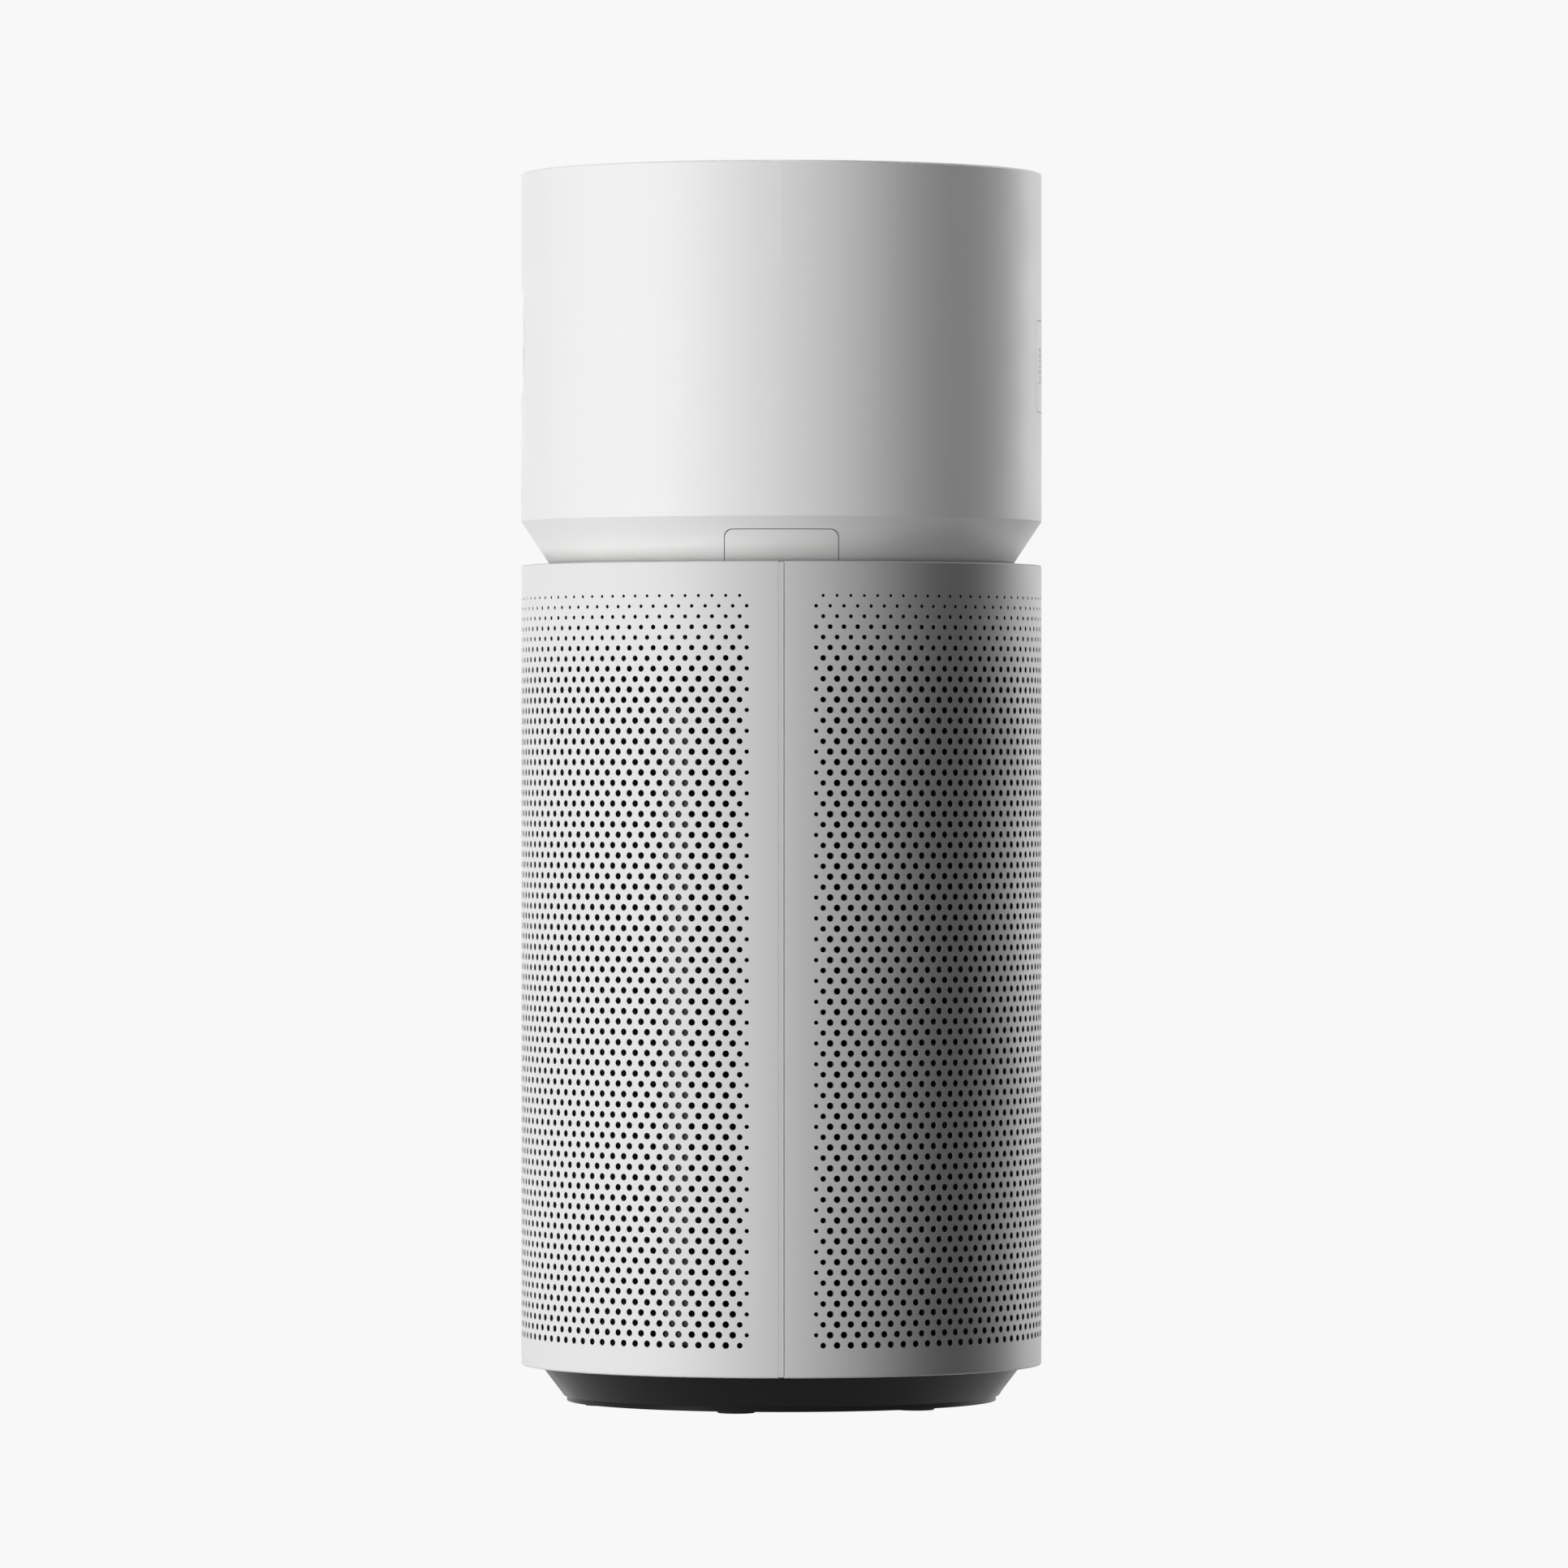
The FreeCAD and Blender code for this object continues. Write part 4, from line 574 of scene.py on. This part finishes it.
class CoverMesh:
    """Half cover on the -Y side, built in cylindrical coordinates: angles run from +X towards -Y."""

    def __init__(self):
        self.verts = []
        self.faces = []
        self.normals = []                   # for each face, the normal at each of its corners
        self.known = {}                     # corners of the hexagon pattern that are there already
        self.inner_r = COVER_R - COVER_WALL
        self.pitch = (COVER_Z1 - HIGH_ROW - COVER_Z0 - LOW_ROW) / (ROWS - 1)

    def angle(self, i, r):
        """Angle of column i at radius r; the outermost ones end at the joint, or at its strip outside."""
        at_strip = r > COVER_R - EDGE_R - JOINT_GAP / 2.0
        edge = math.asin((TONGUE_HALF + JOINT_GAP if at_strip else SEAM_Y) / r)
        if i == LEFT_I:
            return edge
        if i == RIGHT_I:
            return math.pi - edge
        return math.radians(FIRST_HOLE_DEG + COLUMN_DEG * i)

    def level(self, v):
        """Height of step v; there are three steps from one row of holes to the next."""
        return COVER_Z0 + LOW_ROW + self.pitch * v / 3.0

    def add(self, r, a, z):
        self.verts.append((r * math.cos(a), -r * math.sin(a), z))
        return len(self.verts) - 1

    def cell(self, layer, i, v):
        """Corner of the hexagon pattern, on the outer (0) or inner (1) wall."""
        key = (layer, i, v)
        if key not in self.known:
            r = self.inner_r if layer else COVER_R
            a = self.angle(i, r)
            if not layer and i in (LEFT_I, RIGHT_I):
                a += math.radians(SEAM_ROUND_DEG) * (1 if i == LEFT_I else -1)
            self.known[key] = self.add(r, a, self.level(v))
        return self.known[key]

    def put(self, face, normal_at):
        """Adds a face, wound to match normal_at, which gives the surface's normal at a point."""
        corners = [Vector(self.verts[k]) for k in face]
        normals = [normal_at(c).normalized() for c in corners]
        lie = Vector((0.0, 0.0, 0.0))
        for k in range(1, len(corners) - 1):
            lie += (corners[k] - corners[0]).cross(corners[k + 1] - corners[0])
        if lie.dot(sum(normals, Vector((0.0, 0.0, 0.0)))) < 0.0:
            face, normals = face[::-1], normals[::-1]
        self.faces.append(tuple(face))
        self.normals.append(normals)

    def hexagon(self, layer, i, v):
        """The six corners of the cell at column i and step v."""
        steps = ((1, 1), (0, 2), (-1, 1), (-1, -1), (0, -2), (1, -1))
        return [self.cell(layer, i + du, v + dv) for du, dv in steps]

    def hole(self, i, v, diameter):
        """Hexagon cell round a hole that has 12 sides outside and 6 inside, with the hole's wall."""
        a0 = math.radians(FIRST_HOLE_DEG + COLUMN_DEG * i)
        z0 = self.level(v)
        half = diameter / 2.0
        outer, inner = [], []
        for k in range(HOLE_SIDES):
            turn = 2.0 * math.pi * k / HOLE_SIDES
            a = a0 + half * math.cos(turn) / COVER_R
            z = z0 + half * math.sin(turn)
            outer.append(self.add(COVER_R, a, z))
            if k % 2:
                inner.append(self.add(self.inner_r, a, z))
        start = Vector((0.0, 0.0, z0))
        along = Vector((math.cos(a0), -math.sin(a0), 0.0))

        def to_axis(point):
            away = point - start
            return away.dot(along) * along - away

        wide = self.hexagon(0, i, v)
        deep = self.hexagon(1, i, v)
        for k in range(HOLE_SIDES // 2):
            n = (k + 1) % (HOLE_SIDES // 2)
            first, middle, last = [outer[(2 * k + step) % HOLE_SIDES] for step in (1, 2, 3)]
            self.put((wide[k], middle, last, wide[n]), outward)
            self.put((wide[k], first, middle), outward)
            self.put((deep[k], inner[k], inner[n], deep[n]), inward)
            self.put((first, inner[k], middle), to_axis)
            self.put((middle, inner[k], inner[n]), to_axis)
            self.put((middle, inner[n], last), to_axis)

    def plain_cell(self, i, v):
        """Hexagon cell without a hole."""
        self.put(self.hexagon(0, i, v), outward)
        self.put(self.hexagon(1, i, v), inward)

    def half_cell(self, i, v):
        """What is left of a cell that the joint line cuts."""
        side = 1 if i == LEFT_I else -1
        for layer, facing in ((0, outward), (1, inward)):
            self.put([self.cell(layer, i, v + 2), self.cell(layer, i + side, v + 1),
                      self.cell(layer, i + side, v - 1), self.cell(layer, i, v - 2)], facing)

    def diameter(self, i, row_from_top):
        """Holes are smaller in the columns beside the joint line and in the highest rows."""
        column = min(i, LAST_COLUMN - i)
        by_column = {0: FIRST_D, 1: SECOND_D}.get(column, HOLE_D)
        by_row = TOP_D[row_from_top] * MM if row_from_top < len(TOP_D) else HOLE_D
        return min(by_column, by_row)

    def pattern(self):
        """The perforated wall; alternate rows of cells start one column further in."""
        for row in range(ROWS):
            v = 3 * row
            first = 1 if row % 2 == 0 else 0
            for i in range(first, LAST_COLUMN + 1, 2):
                self.hole(i, v, self.diameter(i, ROWS - 1 - row))
            plain = (-3, -1) if first else (-4, -2)
            for i in plain:
                self.plain_cell(i, v)
                self.plain_cell(LAST_COLUMN - i, v)
            if first:
                self.half_cell(LEFT_I, v)
                self.half_cell(RIGHT_I, v)

    def ring(self, r, z, inset=False):
        """Points of one radius and height at every column; inset sets both ends back by the rounding."""
        made = []
        for i in range(LEFT_I, RIGHT_I + 1):
            a = self.angle(i, r)
            if inset and i in (LEFT_I, RIGHT_I):
                a += math.radians(SEAM_ROUND_DEG) * (1 if i == LEFT_I else -1)
            made.append(self.add(r, a, z))
        return made

    def strip(self, first, second, facing):
        """Faces between two rings of the same columns."""
        for k in range(len(first) - 1):
            self.put((first[k], first[k + 1], second[k + 1], second[k]), facing)

    def edges(self):
        """Plain rims, rounded edges and flanges above and below the pattern, and the two seam faces."""
        top_v = 3 * (ROWS - 1)
        columns = range(LEFT_I, RIGHT_I + 1)
        rims = []
        for z_edge, sign, v in ((COVER_Z0, 1, 0), (COVER_Z1, -1, top_v)):
            outer, inner = [[self.cell(layer, i, v - sign * (2 if i % 2 else 1)) for i in columns]
                            for layer in (0, 1)]
            centre_z = z_edge + sign * EDGE_R
            profile = [self.ring(COVER_R, centre_z, inset=True)]
            self.strip(outer, profile[0], outward)
            for step in range(1, EDGE_STEPS + 1):
                turn = 0.5 * math.pi * step / EDGE_STEPS
                r = COVER_R - EDGE_R * (1.0 - math.cos(turn))
                profile.append(self.ring(r, centre_z - sign * EDGE_R * math.sin(turn)))
                self.strip(profile[-2], profile[-1], rounding(centre_z))
            lip_r = COVER_R - FLANGE_W
            for r, z, facing in ((COVER_R - EDGE_R - JOINT_GAP, z_edge, upright(-sign)),
                                 (lip_r, z_edge, upright(-sign)), (lip_r, z_edge + sign * FLANGE_T, inward),
                                 (self.inner_r, z_edge + sign * FLANGE_T, upright(sign))):
                profile.append(self.ring(r, z))
                self.strip(profile[-2], profile[-1], facing)
            self.strip(profile[-1], inner, inward)
            rims.append(profile)
        self.seam_faces(rims)

    def seam_faces(self, rims):
        """The two narrow faces where this half cover meets the other one."""
        steps = set()
        for row in range(ROWS):
            reach = 1 if row % 2 else 2
            steps |= {3 * row - reach, 3 * row + reach}
        steps = sorted(steps)
        for i, place in ((LEFT_I, 0), (RIGHT_I, -1)):
            low, high = [[ring[place] for ring in profile] for profile in rims]
            outer = [low[0]] + [self.cell(0, i, v) for v in steps] + [high[0]]
            inner = [self.cell(1, i, v) for v in steps]
            r = COVER_R - SEAM_ROUND
            lip = [self.add(r, self.angle(i, r), self.verts[k][2]) for k in outer]
            for k in range(len(outer) - 1):
                self.put((outer[k], lip[k], lip[k + 1], outer[k + 1]), outward)
            for k in range(len(inner) - 1):
                self.put((lip[k + 1], inner[k], inner[k + 1], lip[k + 2]), to_other_half)
            for profile, (near, beside), inside in ((low, lip[:2], inner[0]),
                                                    (high, lip[:-3:-1], inner[-1])):
                self.put((profile[0], profile[1], near), outward)
                self.put([near] + profile[1:] + [inside, beside], to_other_half)

    def block(self, r0, r1, across, half, z0, z1, direction):
        """Box along a radius from r0 to r1, 2 half wide, its middle across to the side of that radius."""
        forward = Vector((math.cos(direction), -math.sin(direction), 0.0))
        side = Vector((-forward.y, forward.x, 0.0))
        start = len(self.verts)
        for z in (z0, z1):
            for r, s in ((r0, -half), (r1, -half), (r1, half), (r0, half)):
                self.verts.append(tuple(forward * r + side * (across + s) + Vector((0.0, 0.0, z))))
        for face in ((3, 2, 1, 0), (4, 5, 6, 7), (0, 1, 5, 4), (1, 2, 6, 5), (2, 3, 7, 6), (3, 0, 4, 7)):
            corners = [Vector(self.verts[start + k]) for k in face]
            facing = (corners[1] - corners[0]).cross(corners[3] - corners[0])
            self.put([start + k for k in face], lambda point: facing)

    def ribs(self):
        """Ribs and magnet bosses beside both posts, two stiffeners, and the strip that fills the joint."""
        near = -POST_LO.y + RIB_GAP
        z0, z1 = COVER_Z0 + FLANGE_T / 2.0, COVER_Z1 - FLANGE_T / 2.0
        reach = self.inner_r + COVER_WALL / 4.0
        middle = (POST_LO.x + POST_WALL + POST_HI.x) / 2.0
        rib_end = math.sqrt(reach ** 2 - (near + RIB_T) ** 2)
        boss_end = math.sqrt(reach ** 2 - (near + BOSS_D) ** 2)
        for direction, sign in ((0.0, -1.0), (math.pi, 1.0)):
            self.block(self.inner_r - RIB_D, rib_end, sign * (near + RIB_T / 2.0), RIB_T / 2.0,
                       z0, z1, direction)
            for z in (COVER_Z0 + MAGNET_END, COVER_Z1 - MAGNET_END):
                self.block(middle - BOSS_HALF, boss_end, sign * (near + BOSS_D / 2.0), BOSS_D / 2.0,
                           z - BOSS_HALF, z + BOSS_HALF, direction)
        tongue_out = COVER_R - TONGUE_SINK
        tongue_in = tongue_out - TONGUE_T
        ends = (COVER_Z0 + EDGE_R / 2.0, COVER_Z1 - EDGE_R / 2.0, 0.0)
        self.block(tongue_in, tongue_out, 0.0, TONGUE_HALF, *ends)
        self.block(COVER_R - TONGUE_FOOT, tongue_in, FOOT_ACROSS, FOOT_HALF, *ends)
        for direction in (math.radians(STIFF_DEG), math.pi - math.radians(STIFF_DEG)):
            self.block(self.inner_r - STIFF_D, reach, 0.0, STIFF_T / 2.0, z0, z1, direction)

    def object(self, name):
        """The mesh as an object that keeps the normals given with its faces."""
        mesh = bpy.data.meshes.new(name)
        mesh.from_pydata(self.verts, [], self.faces)
        mesh.polygons.foreach_set("use_smooth", np.ones(len(self.faces), bool))
        mesh.update()
        mesh.normals_split_custom_set([tuple(n) for face in self.normals for n in face])
        obj = bpy.data.objects.new(name, mesh)
        bpy.context.scene.collection.objects.link(obj)
        return obj


def make_covers(finish):
    """The perforated half cover, and a copy of it turned half round for the rear."""
    shape = CoverMesh()
    shape.pattern()
    shape.edges()
    shape.ribs()
    front = shape.object("front_cover_perforated")
    front.data.materials.append(finish)
    rear_mesh = front.data.copy()
    rear = bpy.data.objects.new("rear_cover_perforated", rear_mesh)
    bpy.context.scene.collection.objects.link(rear)
    rear.rotation_euler = (0.0, 0.0, math.pi)
    for obj, node in ((front, "front_cover"), (rear, "rear_cover")):
        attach(obj, node)
        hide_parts(node)


# ---------------------------------------------------------------- release springs
COIL_WIRE_R = 0.4 * MM
COIL_TURNS = 5                              # open turns
COIL_END_TURNS = 1.5                        # closed turns at each end
COIL_SIDES = 10
COIL_STEPS = 28                             # points along one turn


def coil_mesh(name, start, end, y, z, radius):
    """Compression spring along X from start to end, with closed end turns."""
    turns = COIL_TURNS + 2.0 * COIL_END_TURNS
    count = int(turns * COIL_STEPS)
    close = COIL_END_TURNS / turns
    pitch_end = 2.0 * COIL_WIRE_R * COIL_END_TURNS
    span = abs(end - start) - 2.0 * COIL_WIRE_R
    sign = 1.0 if end > start else -1.0
    verts, faces = [], []
    for k in range(count + 1):
        t = k / count
        if t < close:
            along = pitch_end * t / close
        elif t > 1.0 - close:
            along = span - pitch_end * (1.0 - t) / close
        else:
            along = pitch_end + (span - 2.0 * pitch_end) * (t - close) / (1.0 - 2.0 * close)
        turn = 2.0 * math.pi * turns * t
        for side in range(COIL_SIDES):
            around = 2.0 * math.pi * side / COIL_SIDES
            r = radius + COIL_WIRE_R * math.cos(around)
            x = start + sign * (COIL_WIRE_R + along + COIL_WIRE_R * math.sin(around))
            verts.append((x, y + r * math.cos(turn), z + r * math.sin(turn)))
    for k in range(count):
        for side in range(COIL_SIDES):
            n = (side + 1) % COIL_SIDES
            a, b = k * COIL_SIDES, (k + 1) * COIL_SIDES
            face = (a + side, a + n, b + n, b + side)
            faces.append(face if sign > 0 else tuple(reversed(face)))
    first = tuple(range(COIL_SIDES))
    last = tuple(count * COIL_SIDES + side for side in reversed(range(COIL_SIDES)))
    if sign > 0:
        first, last = tuple(reversed(first)), tuple(reversed(last))
    faces += [first, last]
    obj = mesh_object(name, verts, faces)
    for polygon in obj.data.polygons:
        polygon.use_smooth = len(polygon.vertices) == 4
    return obj


def make_springs(finish):
    """Two coils behind each release button, in place of the CAD springs."""
    for side in ("right", "left"):
        node = "release_springs_" + side
        lo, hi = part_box(node)
        outer = (hi.z - lo.z) / 2.0
        middle_z = (lo.z + hi.z) / 2.0
        start, end = (lo.x, hi.x) if side == "right" else (hi.x, lo.x)
        for place, y in (("a", lo.y + outer), ("b", hi.y - outer)):
            coil = coil_mesh("release_spring_%s_%s" % (side, place), start, end, y, middle_z,
                             outer - COIL_WIRE_R)
            coil.data.materials.append(finish)
            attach(coil, "housing")
            if place == "a":
                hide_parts(node)
            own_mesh(coil)


# ---------------------------------------------------------------- everything
make_camera()
make_studio()
finishes = finish_cad_nodes()
make_covers(finishes["white_cover"].material)
make_springs(finishes["steel"].material)
